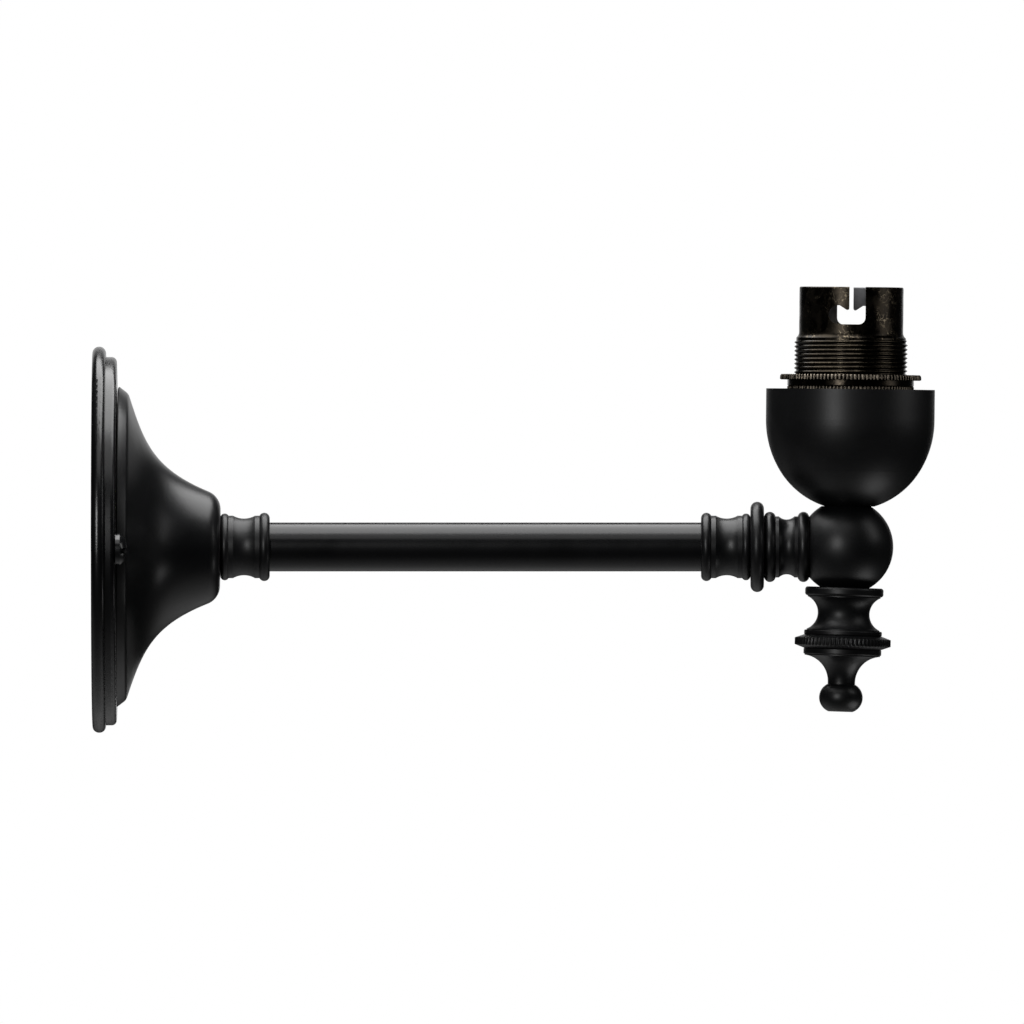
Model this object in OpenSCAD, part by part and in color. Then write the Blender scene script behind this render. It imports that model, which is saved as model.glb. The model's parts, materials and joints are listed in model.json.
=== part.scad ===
// Wall bracket for one lamp: stepped wall plate, bell rose, straight arm with turned collars,
// ball fitting, cup with a bayonet lampholder, and a turned finial.
// X runs out of the wall along the arm, Z is up, and the origin is on the wall behind the arm.

/* [Wall plate] */
// Radius of the plate's rim
plate_r = 50; // [48.5:0.5:60]
// Thickness of the rim
plate_rim_t = 3.5; // [3.5:0.1:5]
// Radius of the step in front of the rim
step_r = 47.7; // [47:0.1:48.4]
// Thickness of that step
step_t = 2.8; // [2.4:0.1:4]
// Rounding of the rim towards the wall
rim_back_round = 1.7; // [0.5:0.1:1.7]
// Rounding of the rim towards the room
rim_front_round = 1.7; // [0.5:0.1:1.7]
// Rounding of the step's edge
step_round = 1.3; // [0.3:0.1:1.4]
// Thickness of the plate's web
web_t = 3.0; // [2:0.1:3.4]
// Radius of the round opening in the web
web_open_r = 22; // [19:0.5:23]
// Length of the window over the strap
window_len = 68; // [60:1:70]
// Width of that window
window_w = 23; // [21:0.5:24]
// Thickness of the rim's wall round the hollow back
rim_wall = 4.2; // [3:0.1:6]
// Radius of the pads that rest on the strap's ends
pad_r = 5.5; // [5:0.1:7]
// How far the rim's centre sits above the arm
rim_lift = 1.86; // [0:0.01:2]
// How far the step's centre sits above the arm
step_lift = 1.48; // [0:0.01:2]
// How far the plate is turned on the wall, in degrees
plate_turn = 3.2; // [-5:0.1:5]

/* [Wall strap] */
// Thickness of the strap
strap_t = 2.0; // [1.5:0.1:2.4]
// Width of the strap
strap_w = 20; // [18:0.5:20]
// Distance from the centre to each fixing screw
fix_reach = 44.4; // [43.6:0.1:44.6]
// Metal beyond each fixing screw's centre
strap_end = 2.9; // [2.6:0.1:3]
// Distance from the centre to each wall slot
slot_reach = 26.5; // [26:0.5:28]
// Length of a wall slot
slot_len = 11; // [8:0.5:12]
// Width of a wall slot
slot_w = 5; // [4:0.5:6]

/* [Fixing screws] */
// Radius of the fixing screws
fix_r = 2.0; // [1.5:0.1:2.2]
// Radius of their heads
fix_head_r = 4.15; // [3.5:0.05:4.4]
// Height of their heads
fix_head_h = 3.2; // [2.4:0.1:3.6]
// Radius of the crown of their heads
fix_crown_r = 5.2; // [4.7:0.1:7]
// Width of the driver slot
fix_slot_w = 1.4; // [0.8:0.1:1.8]
// Depth of the driver slot
fix_slot_d = 1.7; // [1:0.1:2]
// How far the driver slots are turned, in degrees
fix_slot_turn = 4; // [-30:1:30]

/* [Rose] */
// Length of the rose
rose_len = 26.8; // [25:0.1:29]
// Radius of its foot
foot_r = 41.7; // [40.5:0.1:42]
// Radius at the top of the foot's bevel
lip_r = 39.9; // [39:0.1:40]
// Height of the bevel
lip_h = 2.5; // [1.5:0.1:3.5]
// Height of the foot's top chamfer for each millimetre of its width
lip_slope = 0.40; // [0.3:0.01:0.6]
// Distance from the bevel to the plane where the flare begins
flare_rise = 0.95; // [0.5:0.05:1]
// Radius of the flare's arc
flare_r = 28.4; // [27:0.1:31]
// Smallest radius that the flare closes to
throat_r = 13.5; // [12.8:0.01:14]
// Radius of the rounded shoulder at the arm
shoulder_r = 5.0; // [3.5:0.1:5.5]
// Wall of the rose
rose_t = 2.2; // [1.5:0.1:2.6]
// Wall of its foot
foot_t = 3.5; // [3:0.1:4]
// Thickness of its flat end
rose_end_t = 3.0; // [2:0.1:4]
// Distance from the axis to the three screw lugs
lug_reach = 28; // [27:0.5:29]
// Radius of the lugs
lug_r = 4.0; // [3.5:0.1:4.4]
// Radius of the rose screws
rose_screw_r = 1.5; // [1.2:0.1:1.8]
// Radius of their heads
rose_screw_head_r = 2.75; // [2.4:0.05:3.2]
// Height of their heads
rose_screw_head_h = 1.8; // [1:0.1:2.2]
// How far the rose screws reach into the lugs
rose_screw_bite = 4.5; // [3.5:0.1:4.8]

/* [Arm] */
// Radius of the tube
tube_r = 6.35; // [5.8:0.05:6.6]
// Wall of the tube
tube_t = 1.2; // [0.8:0.1:1.6]
// Clear length of tube between the collars
arm_run = 111.7; // [60:1:200]
// How far the tube stands past the back nut
tube_tail = 3.0; // [1:0.1:4]
// How far the tube enters the ball
tube_grip = 4.8; // [3:0.1:5]
// Thickness of the back washer
washer_t = 1.2; // [0.8:0.1:2]
// Radius of the back washer
washer_r = 10.2; // [9.5:0.1:10.5]
// Thickness of the back nut
back_nut_t = 4.0; // [3:0.1:5]
// Width of the back nut across its flats
back_nut_w = 18; // [17:0.5:19]

/* [Collars] */
// Length of the base and outer collars
collar_len = 12.8; // [11.5:0.1:16]
// Radius of the bead at their ends against the rose and the disc ring
collar_bead_r = 8.65; // [8.2:0.05:9.2]
// Width of that bead
collar_bead_w = 2.3; // [2:0.1:3]
// Radius of the larger bead at their ends beside the clear tube
collar_nose_r = 8.85; // [8.2:0.05:9.2]
// Width of the larger bead
collar_nose_w = 2.8; // [2:0.1:3.2]
// Radius of the fillets beside the beads
collar_fillet_r = 8.1; // [7.8:0.05:8.2]
// Width of those fillets
collar_fillet_w = 1.0; // [0.5:0.1:1.3]
// Radius of their waists
collar_waist_r = 7.35; // [7.1:0.05:7.7]
// Thickness of the disc ring
disc_t = 3.5; // [3:0.1:5]
// Radius of the disc ring
disc_r = 11.7; // [11:0.02:14]
// Length of the collar against the ball
ball_collar_len = 11.75; // [11:0.05:14]
// Radius of that collar's beads
ball_bead_r = 9.1; // [8.6:0.02:9.4]
// Width of that collar's beads
ball_bead_w = 3.05; // [2.5:0.05:3.4]
// Radius of that collar's fillets
ball_fillet_r = 7.93; // [7.7:0.01:8.2]
// Width of that collar's fillets
ball_fillet_w = 0.8; // [0.4:0.1:1]
// Radius of that collar's waist
ball_waist_r = 7.1; // [6.95:0.05:7.5]

/* [Ball fitting] */
// Radius of the ball
ball_r = 12.3; // [11.8:0.1:14]
// Distance from the ball's centre to the face that meets the arm
ball_side = 9.45; // [9:0.05:10]
// Distance from the ball's centre to the face under the cup
ball_top = 10.5; // [10:0.1:11]
// Distance from the ball's centre to the face over the spool
ball_bottom = 10.5; // [10:0.1:11]
// Radius of the hollow inside the ball
chamber_r = 7.2; // [7:0.1:7.6]

/* [Cup] */
// Lean of the cup and lampholder, in degrees
head_lean = 0.6; // [-3:0.1:3]
// How far the cup stands off the ball's centre
head_offset = 0.8; // [0:0.1:1]
// Radius of the cup's lip
cup_r = 21.85; // [20.5:0.05:26]
// Height of the straight lip
cup_lip_h = 8.0; // [5:0.1:9]
// How much tighter the bowl's bottom is than its lip
bowl_nose = 0.6; // [0.3:0.05:1]
// How far the centre of the bowl's bottom lies below the lip
bowl_drop = 2.1; // [1:0.1:3]
// How much of the bowl's pole is cut off for the seat
cup_seat_cut = 1.0; // [0.6:0.1:1.2]
// Wall of the cup
cup_t = 1.2; // [0.8:0.1:1.6]
// Thickness of the cup's floor
cup_floor_t = 2.0; // [2:0.1:2.6]
// Radius of the head nipple
nipple_r = 5.0; // [4.5:0.1:5]
// Radius of the nipple's bore
nipple_bore_r = 4.0; // [3.2:0.1:4.1]
// How far the nipple enters the ball
nipple_grip = 5.2; // [3.5:0.1:5.4]
// How far the nipple enters the lampholder
nipple_reach = 4.0; // [3:0.1:4]
// Thickness of the cup nut
cup_nut_t = 2.5; // [2:0.1:4]
// Width of the cup nut across its flats
cup_nut_w = 14; // [12:0.5:14]

/* [Lampholder] */
// Length of the lampholder's cover
cap_h = 23.4; // [22:0.1:24]
// Outer radius of the cover
cap_r = 15.9; // [15.6:0.1:17]
// Radius of the rounding at the cover's bottom
cap_round = 6.0; // [4:0.1:7]
// Wall of the cover at its bottom
cap_t = 1.5; // [1:0.1:2]
// Radius of the entry boss
boss_r = 7.5; // [6.5:0.1:8]
// Height of the entry boss
boss_h = 2.5; // [2:0.1:3]
// Inner radius of the cover below its ledge
cap_inner_r = 13.4; // [12.5:0.1:13.8]
// Height of the ledge that carries the insulator
ledge_h = 15.0; // [14:0.1:16]
// Thickness of the insulator's flange
insulator_flange_t = 2.0; // [1.5:0.1:2.5]
// Length of the barrel
barrel_len = 35.3; // [34:0.1:38]
// Outer radius of the barrel at its mouth
barrel_r = 13.48; // [13.2:0.02:14]
// Radius of the socket
socket_r = 12.2; // [11.4:0.05:12.5]
// Depth of the socket from the mouth to the insulator
socket_depth = 15.8; // [14:0.1:17]
// Length of the socket's close bore at the mouth
socket_guide = 10.1; // [9.8:0.1:10.2]
// Width of the relief between that bore and the barrel below it
socket_relief = 0.3; // [0.2:0.05:0.6]
// Crest radius of the barrel's thread
thread_r = 14.64; // [14.5:0.02:15]
// Length of the threaded stretch
thread_len = 21.8; // [20:0.1:23]
// Radius of the fillet above the thread
neck_fillet = 1.7; // [1.3:0.1:2.4]
// Width of a bayonet slot
bayonet_w = 4.2; // [3:0.1:5]
// Height of the bayonet pocket
pocket_h = 4.9; // [4:0.1:5.2]
// Length of the pocket from the slot's middle to its end
pocket_reach = 7.4; // [6.5:0.1:8]
// Distance from the mouth to the bottom of the pocket
pocket_depth = 9.7; // [9:0.1:11]
// Offset of the slot's middle from the barrel's axis
slot_offset = 1.48; // [0:0.01:2]
// How far the tongue's tip hangs below the pocket's top
tongue_drop = 1.2; // [0.5:0.1:1.6]
// Width of the tongue's slope
tongue_slope = 2.0; // [1:0.1:2.4]
// Rounding of the slot's lower corner
slot_corner = 1.8; // [1:0.1:2]

/* [Shade rings] */
// Radius of the shade ring's knurled flange
flange_r = 18.3; // [17:0.1:20]
// Thickness of that flange
flange_t = 1.42; // [1:0.02:2]
// Outer radius of the ring's collar and of the lock ring
ring_r = 16.4; // [15.6:0.1:17]
// Height of the ring's collar
ring_collar_h = 1.5; // [1:0.1:2]
// Height of the lock ring
lock_ring_h = 3.3; // [2.5:0.1:3.4]
// Teeth round the flange
flange_teeth = 112; // [60:2:140]
// Teeth round the lock ring
lock_teeth = 102; // [60:2:140]
// Depth of the knurling
knurl_depth = 0.35; // [0.15:0.05:0.5]

/* [Contacts] */
// Distance from the axis to each contact
contact_reach = 4.8; // [4.4:0.1:5.2]
// Turn of the pair of contacts round the axis, in degrees
contact_turn = -16; // [-40:1:40]
// Outer radius of the contact sleeves
sleeve_r = 3.2; // [3:0.1:3.6]
// Bore of the contact sleeves
sleeve_bore_r = 2.55; // [2.3:0.05:2.7]
// Thickness of the sleeves' turned-in lip
sleeve_lip_t = 1.0; // [0.6:0.1:1.4]
// How far the sleeves stand out below the insulator
sleeve_tail = 5.5; // [5:0.1:6]
// Depth of the sleeves' bore
sleeve_depth = 15.5; // [14:0.1:17]
// Radius of the plungers' tips
tip_r = 2.0; // [1.6:0.05:2]
// How far the tips stand out of the sleeves
tip_h = 5.5; // [5:0.1:6]
// Height of the plungers' collars
plunger_collar_h = 4.0; // [3:0.1:5]
// Height of the barrier between the contacts
barrier_h = 2.0; // [1:0.1:2]
// Radius of the spring wire
spring_wire_r = 0.28; // [0.2:0.02:0.34]
// Turns of a contact spring
spring_turns = 6; // [4:1:8]

/* [Finial] */
// Lean of the spool and finial, in degrees
foot_lean = 1.87; // [-3:0.01:3]
// Length of the spool
spool_len = 12.45; // [11.5:0.05:15]
// Radius of the spool's flange
spool_flange_r = 10.15; // [9.8:0.05:11]
// Thickness of the spool's flange
spool_flange_t = 2.3; // [1.5:0.1:2.5]
// Radius of the spool's shoulder
spool_shoulder_r = 9.45; // [9:0.05:9.6]
// Radius of the spool's waist
spool_waist_r = 6.7; // [6:0.1:7.5]
// Radius of the fillets on both sides of the knurled ring
finial_fillet_r = 10.08; // [9.8:0.02:11]
// Thickness of the spool's lower fillet
spool_fillet_t = 1.25; // [0.8:0.05:1.6]
// Radius of the knurled ring
ring_knurl_r = 12.44; // [12:0.02:14]
// Thickness of the knurled ring
ring_knurl_t = 3.45; // [3:0.05:5]
// Width of the knurled ring's band
ring_band_t = 2.0; // [1:0.1:2]
// Teeth round the knurled ring
ring_teeth = 68; // [40:2:120]
// Thickness of the finial's fillet
finial_fillet_t = 1.55; // [1:0.05:2]
// Radius of the finial's neck
finial_neck_r = 3.54; // [3:0.02:4]
// Radius of the finial's flare
finial_flare_r = 6.8; // [6.4:0.1:8]
// Length of the straight neck
finial_neck_h = 0.4; // [0.2:0.1:3]
// Radius of the finial's end ball
bun_r = 5.65; // [5:0.05:7]
// Rounding of the end ball's side
bun_round = 3.9; // [3.7:0.1:4.4]
// Half the height of the end ball
bun_half_h = 3.65; // [3:0.05:3.65]
// Radius of the stud
stud_r = 3.0; // [2.5:0.1:3.2]
// How far the stud enters the ball
stud_grip = 4.2; // [3:0.1:4.5]
// How far the stud enters the finial
stud_bite = 4.0; // [3:0.1:4.2]

/* [Terminal block] */
// Width of the block across its three poles
block_w = 24; // [23:0.5:25]
// Length of the block along its wires
block_l = 16; // [15:0.5:18]
// Height of the block off the strap
block_h = 10; // [8:0.5:11]
// Distance from pole to pole
pole_pitch = 8; // [7.6:0.1:8.4]
// Distance from the strap to the poles' centres
pole_rise = 5; // [4:0.1:5.5]
// Length of the brass inserts
insert_len = 14; // [13:0.5:14.5]
// Outer radius of the brass inserts
insert_r = 2.2; // [2:0.05:2.4]
// Bore of the brass inserts
insert_bore_r = 1.4; // [1.2:0.05:1.6]
// Radius of the clamp screws and the block's bolts
clamp_r = 1.2; // [1:0.1:1.3]
// Distance between the two clamp screws of a pole
clamp_pitch = 8.6; // [7:0.1:9.4]
// Radius of the earth screw
earth_r = 2.0; // [1.5:0.1:2.2]
// Radius of the earth screw's head
earth_head_r = 3.6; // [3:0.1:3.8]
// Height of the earth screw's head
earth_head_h = 2.4; // [1.8:0.1:2.8]
// Thickness of the earth tag
earth_tag_t = 0.8; // [0.5:0.1:1.2]
// Radius of the insulated wires
wire_r = 1.0; // [0.8:0.1:1.1]

/* [Fits] */
// Radial clearance of threads and seats that are tight
fit_gap = 0.05; // [0.02:0.01:0.1]
// Radial clearance of screw holes and sliding collars
hole_gap = 0.15; // [0.1:0.05:0.3]
// Clearance round the fixing screws' heads
head_gap = 0.3; // [0.2:0.05:0.5]
// Radial clearance of the plungers
plunger_gap = 0.08; // [0.05:0.01:0.1]

/* [Hidden] */
round_fn = 96;
small_fn = 48;
cove_land = 0.25;

// Colours
satin_black = [0.075, 0.075, 0.08];
aged_brass = [0.2, 0.16, 0.11];
bright_brass = [0.72, 0.58, 0.3];
zinc = [0.62, 0.63, 0.65];
porcelain = [0.86, 0.84, 0.78];
nylon = [0.8, 0.8, 0.78];

// Places along the arm
plate_t = plate_rim_t + step_t;
rose_end_x = plate_t + rose_len;
run_start_x = rose_end_x + collar_len;
run_end_x = run_start_x + arm_run;
disc_x = run_end_x + collar_len;
ball_collar_x = disc_x + disc_t;
ball_face_x = ball_collar_x + ball_collar_len;
ball_x = ball_face_x + ball_side;
washer_x = rose_end_x - rose_end_t - washer_t;
back_nut_x = washer_x - back_nut_t;
tube_start_x = back_nut_x - tube_tail;
tube_end_x = ball_face_x + tube_grip;

// Heights of the lampholder, from the ball's centre along the head's axis
bowl_bottom_r = cup_r - bowl_nose;
bowl_side_r = (pow(cup_r, 2) + pow(bowl_drop, 2) - pow(bowl_bottom_r, 2)) / (2 * bowl_nose);
bowl_z = ball_top + bowl_bottom_r - cup_seat_cut;
lip_z = bowl_z + bowl_drop;
floor_z = ball_top + cup_floor_t;
holder_z = floor_z + cup_nut_t;
cap_rim_z = holder_z + cap_h;
ledge_z = holder_z + ledge_h;
barrel_z = ledge_z + insulator_flange_t;
mouth_z = barrel_z + barrel_len;
insulator_top_z = mouth_z - socket_depth;
lock_ring_z = cap_rim_z;
shade_ring_z = lock_ring_z + lock_ring_h;

// Depths of the finial, from the ball's centre down the foot's axis
ring_z = ball_bottom + spool_len;
finial_z = ring_z + ring_knurl_t;
flare_z = finial_z + finial_fillet_t;
neck_z = flare_z + finial_flare_r + cove_land;
bun_z = neck_z + finial_neck_h + bun_half_h;

// Places on the plate, rose and strap
plate_back = plate_t - web_t;
strap_half = fix_reach + strap_end;
earth_y = -16.3;
lug_angles = [90, 210, 330];
lip_land = 3.6;
flare_z0 = lip_h + flare_rise + flare_r;
flare_axis_r = throat_r + flare_r;
shoulder_z = rose_len - shoulder_r;
shoulder_axis_r = flare_axis_r - sqrt(pow(flare_r + shoulder_r, 2) - pow(flare_z0 - shoulder_z, 2));
shoulder_share = flare_r / (flare_r + shoulder_r);
shoulder_meet_z = flare_z0 - (flare_z0 - shoulder_z) * shoulder_share;
cap_bore_r = thread_r + fit_gap;
barrel_bore_r = socket_r + socket_relief;
sleeve_z = ledge_z - sleeve_tail;
plunger_z = insulator_top_z - sleeve_lip_t - plunger_collar_h;
spring_z = insulator_top_z - sleeve_depth;
wire_hole_h = 6;
barrier_t = 1.6;
barrier_l = 14;
tongue_tip = 0.5;
edge_round = 0.3;
flange_round = 0.7;
tip_round = 0.6;
slot_cut_w = 0.8;
slot_cut_d = 0.9;
small_slot_w = 0.5;
small_slot_d = 0.6;
clamp_head_r = 1.6;
clamp_head_h = 1.2;
bolt_head_r = 1.5;
tag_reach = 5;
tag_barrel = 5;

// Places in the terminal block
pole_x = strap_t + pole_rise;
block_face_x = strap_t + block_h;

// Round wire swept along points: straight at its ends and bent smoothly past the points between
function unit(v) = v / norm(v);
function bend_point(a, b, c, t) = (1 - t) * (1 - t) * a + 2 * t * (1 - t) * b + t * t * c;
function bend(p, steps) = [
    p[0],
    for (i = [1 : len(p) - 2], s = [0 : steps])
        if (s < steps || i == len(p) - 2)
            bend_point((p[i - 1] + p[i]) / 2, p[i], (p[i] + p[i + 1]) / 2, s / steps),
    p[len(p) - 1]
];
function tangent(p, i) = unit(p[min(i + 1, len(p) - 1)] - p[max(i - 1, 0)]);
function side(p, i, before) = unit(before - (before * tangent(p, i)) * tangent(p, i));
function sides(p, i, before) =
    i >= len(p) ? [] : let (s = side(p, i, before)) concat([s], sides(p, i + 1, s));

module sweep(p, r, start_side, faces_round) {
    s = sides(p, 0, start_side);
    n = faces_round;
    last = (len(p) - 1) * n;
    ring = [
        for (i = [0 : len(p) - 1], k = [0 : n - 1])
            let (a = 360 * k / n, u = s[i], v = cross(tangent(p, i), u))
                p[i] + r * (cos(a) * u + sin(a) * v)
    ];
    walls = [
        for (i = [0 : len(p) - 2], k = [0 : n - 1])
            let (a = i * n + k, b = i * n + (k + 1) % n)
                each [[a, a + n, b], [b, a + n, b + n]]
    ];
    polyhedron(
        points = ring,
        faces = concat(walls, [[for (k = [0 : n - 1]) k]], [[for (k = [n - 1 : -1 : 0]) last + k]])
    );
}

// Frames of the sub-assemblies
module along_arm(x) {
    translate([x, 0, 0]) rotate([0, 90, 0]) children();
}

module on_plate(lift) {
    translate([0, 0, lift]) rotate([plate_turn, 0, 0]) children();
}

module on_head() {
    translate([ball_x + head_offset, 0, 0]) rotate([0, head_lean, 0]) children();
}

module under_ball() {
    translate([ball_x, 0, 0]) rotate([0, foot_lean, 0]) rotate([180, 0, 0]) children();
}

function head_point(x, y, z) =
    [ball_x + head_offset + cos(head_lean) * x + sin(head_lean) * z,
     y,
     cos(head_lean) * z - sin(head_lean) * x];
function plate_point(x, y, z) =
    [x, cos(plate_turn) * y - sin(plate_turn) * z, rim_lift + sin(plate_turn) * y + cos(plate_turn) * z];

module hexagon(width, height, bore) {
    difference() {
        cylinder(r = width / sqrt(3), h = height, $fn = 6);
        translate([0, 0, -1]) cylinder(r = bore, h = height + 2, $fn = round_fn);
    }
}

module revolve() {
    rotate_extrude($fn = round_fn) children();
}

// Profile of a disc with its lower and upper edges rounded
module rounded_disc(r, t, low, high) {
    square([r - low, t / 2]);
    translate([0, t / 2]) square([r - high, t / 2]);
    translate([0, low]) square([r, t - low - high]);
    translate([r - low, low]) circle(r = low, $fn = small_fn);
    translate([r - high, t - high]) circle(r = high, $fn = small_fn);
}

// Piece of a profile between two heights
module band(low, high) {
    intersection() {
        children();
        translate([0, low]) square([plate_r, high - low]);
    }
}

// Outline with V teeth for a straight knurl
module knurl_outline(r, teeth) {
    polygon([
        for (i = [0 : 2 * teeth - 1])
            let (a = 180 * i / teeth, q = i % 2 == 0 ? r : r - knurl_depth)
                [q * cos(a), q * sin(a)]
    ]);
}

module bored(bore, height) {
    difference() {
        children();
        translate([0, 0, -1]) cylinder(r = bore, h = height + 2, $fn = round_fn);
    }
}

// Wall strap and plate
module fixing_places() {
    on_plate(rim_lift) for (way = [-1, 1]) translate([0, way * fix_reach, 0]) rotate([0, 90, 0])
        children();
}

module lug_places() {
    for (a = lug_angles) rotate([a, 0, 0]) translate([0, lug_reach, 0]) rotate([0, 90, 0])
        children();
}

module wall_slot() {
    run = slot_len - slot_w;
    translate([-1, -run / 2, -slot_w / 2]) cube([strap_t + 2, run, slot_w]);
    for (way = [-1, 1]) translate([-1, way * run / 2, 0]) rotate([0, 90, 0])
        cylinder(r = slot_w / 2, h = strap_t + 2, $fn = small_fn);
}

module strap_hole(y, r) {
    translate([-1, y, 0]) rotate([0, 90, 0]) cylinder(r = r, h = strap_t + 2, $fn = small_fn);
}

module wall_strap() {
    color(zinc) on_plate(rim_lift) difference() {
        intersection() {
            translate([0, -strap_half - 1, -strap_w / 2]) cube([strap_t, 2 * strap_half + 2, strap_w]);
            translate([-1, 0, 0]) rotate([0, 90, 0])
                cylinder(r = strap_half, h = strap_t + 2, $fn = round_fn);
        }
        for (way = [-1, 1]) {
            strap_hole(way * fix_reach, fix_r + fit_gap);
            strap_hole(way * pole_pitch / 2, clamp_r + fit_gap);
            translate([0, way * slot_reach, 0]) wall_slot();
        }
        strap_hole(earth_y, earth_r + fit_gap);
    }
}

module plate_hollow() {
    difference() {
        translate([-1, 0, 0]) rotate([0, 90, 0])
            cylinder(r = plate_r - rim_wall, h = plate_back + 1, $fn = round_fn);
        for (way = [-1, 1]) translate([strap_t, way * fix_reach, 0]) rotate([0, 90, 0])
            cylinder(r = pad_r, h = plate_t, $fn = small_fn);
    }
}

module strap_seat() {
    w = strap_w + 2 * head_gap;
    intersection() {
        translate([-1, -plate_r, -w / 2]) cube([strap_t + 1, 2 * plate_r, w]);
        translate([-2, 0, 0]) rotate([0, 90, 0])
            cylinder(r = strap_half + head_gap, h = plate_t, $fn = round_fn);
    }
}

module wall_plate() {
    color(satin_black) difference() {
        union() {
            on_plate(rim_lift) rotate([0, 90, 0]) revolve()
                rounded_disc(plate_r, plate_rim_t, rim_back_round, rim_front_round);
            translate([plate_rim_t / 2, 0, 0]) on_plate(step_lift) rotate([0, 90, 0]) revolve()
                rounded_disc(step_r, plate_t - plate_rim_t / 2, step_round, step_round);
        }
        on_plate(rim_lift) {
            plate_hollow();
            strap_seat();
            rotate([0, 90, 0]) cylinder(r = web_open_r, h = plate_t + 1, $fn = round_fn);
            translate([0, -window_len / 2, -window_w / 2]) cube([plate_t + 1, window_len, window_w]);
        }
        fixing_places() cylinder(r = fix_r + hole_gap, h = plate_t + 1, $fn = small_fn);
        lug_places() cylinder(r = rose_screw_r + hole_gap, h = plate_t + 1, $fn = small_fn);
    }
}

module slotted_head(r, height, crown_r, slot_w, slot_d) {
    difference() {
        revolve() intersection() {
            square([r, height]);
            translate([0, height - crown_r]) circle(r = crown_r, $fn = round_fn);
        }
        translate([-r - 1, -slot_w / 2, height - slot_d]) cube([2 * r + 2, slot_w, slot_d + 1]);
    }
}

module fixing_screws() {
    color(satin_black) fixing_places() {
        translate([0, 0, plate_t]) rotate([0, 0, 90 + fix_slot_turn])
            slotted_head(fix_head_r, fix_head_h, fix_crown_r, fix_slot_w, fix_slot_d);
        cylinder(r = fix_r, h = plate_t + fix_head_h / 4, $fn = small_fn);
    }
}

// Rose, its screws, and the nut and washer inside it
module rose_outer() {
    land = lip_r - lip_land;
    band(0, shoulder_meet_z) difference() {
        polygon([
            [0, 0], [foot_r, 0], [lip_r, lip_h], [land, lip_h + lip_slope * (lip_r - land)],
            [land, rose_len], [0, rose_len]
        ]);
        translate([flare_axis_r, flare_z0]) circle(r = flare_r, $fn = round_fn);
    }
    band(shoulder_meet_z, rose_len) {
        square([shoulder_axis_r, rose_len]);
        translate([shoulder_axis_r, shoulder_z]) circle(r = shoulder_r, $fn = small_fn);
    }
}

module rose_inner() {
    difference() {
        translate([0, -1]) square([foot_r - foot_t, rose_len - rose_end_t + 1]);
        translate([flare_axis_r, flare_z0]) circle(r = flare_r + rose_t, $fn = round_fn);
    }
}

module rose() {
    color(satin_black) difference() {
        along_arm(plate_t) revolve() rose_outer();
        difference() {
            along_arm(plate_t) revolve() rose_inner();
            lug_places() translate([0, 0, plate_t]) cylinder(r = lug_r, h = rose_len, $fn = small_fn);
        }
        lug_places() cylinder(r = rose_screw_r + fit_gap, h = plate_t + rose_screw_bite, $fn = small_fn);
        along_arm(plate_t) cylinder(r = tube_r + hole_gap, h = rose_len + 1, $fn = round_fn);
        fixing_places() cylinder(r = fix_head_r + head_gap, h = rose_end_x, $fn = small_fn);
    }
}

module rose_screws() {
    color(zinc) lug_places() {
        translate([0, 0, plate_back]) rotate([180, 0, 0])
            slotted_head(rose_screw_head_r, rose_screw_head_h, 2 * rose_screw_head_r, slot_cut_w, slot_cut_d);
        translate([0, 0, plate_back - rose_screw_head_h / 4])
            cylinder(r = rose_screw_r, h = web_t + rose_screw_bite, $fn = small_fn);
    }
}

module back_washer() {
    color(zinc) along_arm(washer_x) bored(tube_r + hole_gap, washer_t)
        cylinder(r = washer_r, h = washer_t, $fn = round_fn);
}

module back_nut() {
    color(zinc) along_arm(back_nut_x) hexagon(back_nut_w, back_nut_t, tube_r + fit_gap);
}

// Arm and its turned collars
module arm_tube() {
    run = tube_end_x - tube_start_x;
    color(satin_black) along_arm(tube_start_x) bored(tube_r - tube_t, run)
        cylinder(r = tube_r, h = run, $fn = round_fn);
}

// Profile with a bead at each end, fillets beside them and a cove between
module collar_profile(run, low_r, low_w, high_r, high_w, fillet_r, fillet_w, waist_r) {
    middle = (run + low_w - high_w) / 2;
    half = (run - low_w - high_w) / 2 - fillet_w;
    depth = fillet_r - waist_r;
    cove_r = (pow(half, 2) + pow(depth, 2)) / (2 * depth);
    difference() {
        translate([0, low_w / 2]) square([fillet_r, run - (low_w + high_w) / 2]);
        translate([waist_r + cove_r, middle]) circle(r = cove_r, $fn = round_fn);
    }
    bead(low_r, low_w, 0);
    bead(high_r, high_w, run - high_w);
}

module bead(r, w, z) {
    translate([0, z]) square([r - w / 2, w]);
    translate([r - w / 2, z + w / 2]) circle(r = w / 2, $fn = small_fn);
}

module arm_collar() {
    bored(tube_r + hole_gap, collar_len) revolve()
        collar_profile(
            collar_len, collar_bead_r, collar_bead_w, collar_nose_r, collar_nose_w,
            collar_fillet_r, collar_fillet_w, collar_waist_r
        );
}

module base_collar() {
    color(satin_black) along_arm(rose_end_x) arm_collar();
}

module outer_collar() {
    color(satin_black) along_arm(disc_x) mirror([0, 0, 1]) arm_collar();
}

module disc_ring() {
    color(satin_black) along_arm(disc_x) bored(tube_r + hole_gap, disc_t) revolve()
        bead(disc_r, disc_t, 0);
}

module ball_collar() {
    color(satin_black) along_arm(ball_collar_x) bored(tube_r + hole_gap, ball_collar_len) revolve()
        collar_profile(
            ball_collar_len, ball_bead_r, ball_bead_w, ball_bead_r, ball_bead_w,
            ball_fillet_r, ball_fillet_w, ball_waist_r
        );
}

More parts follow.
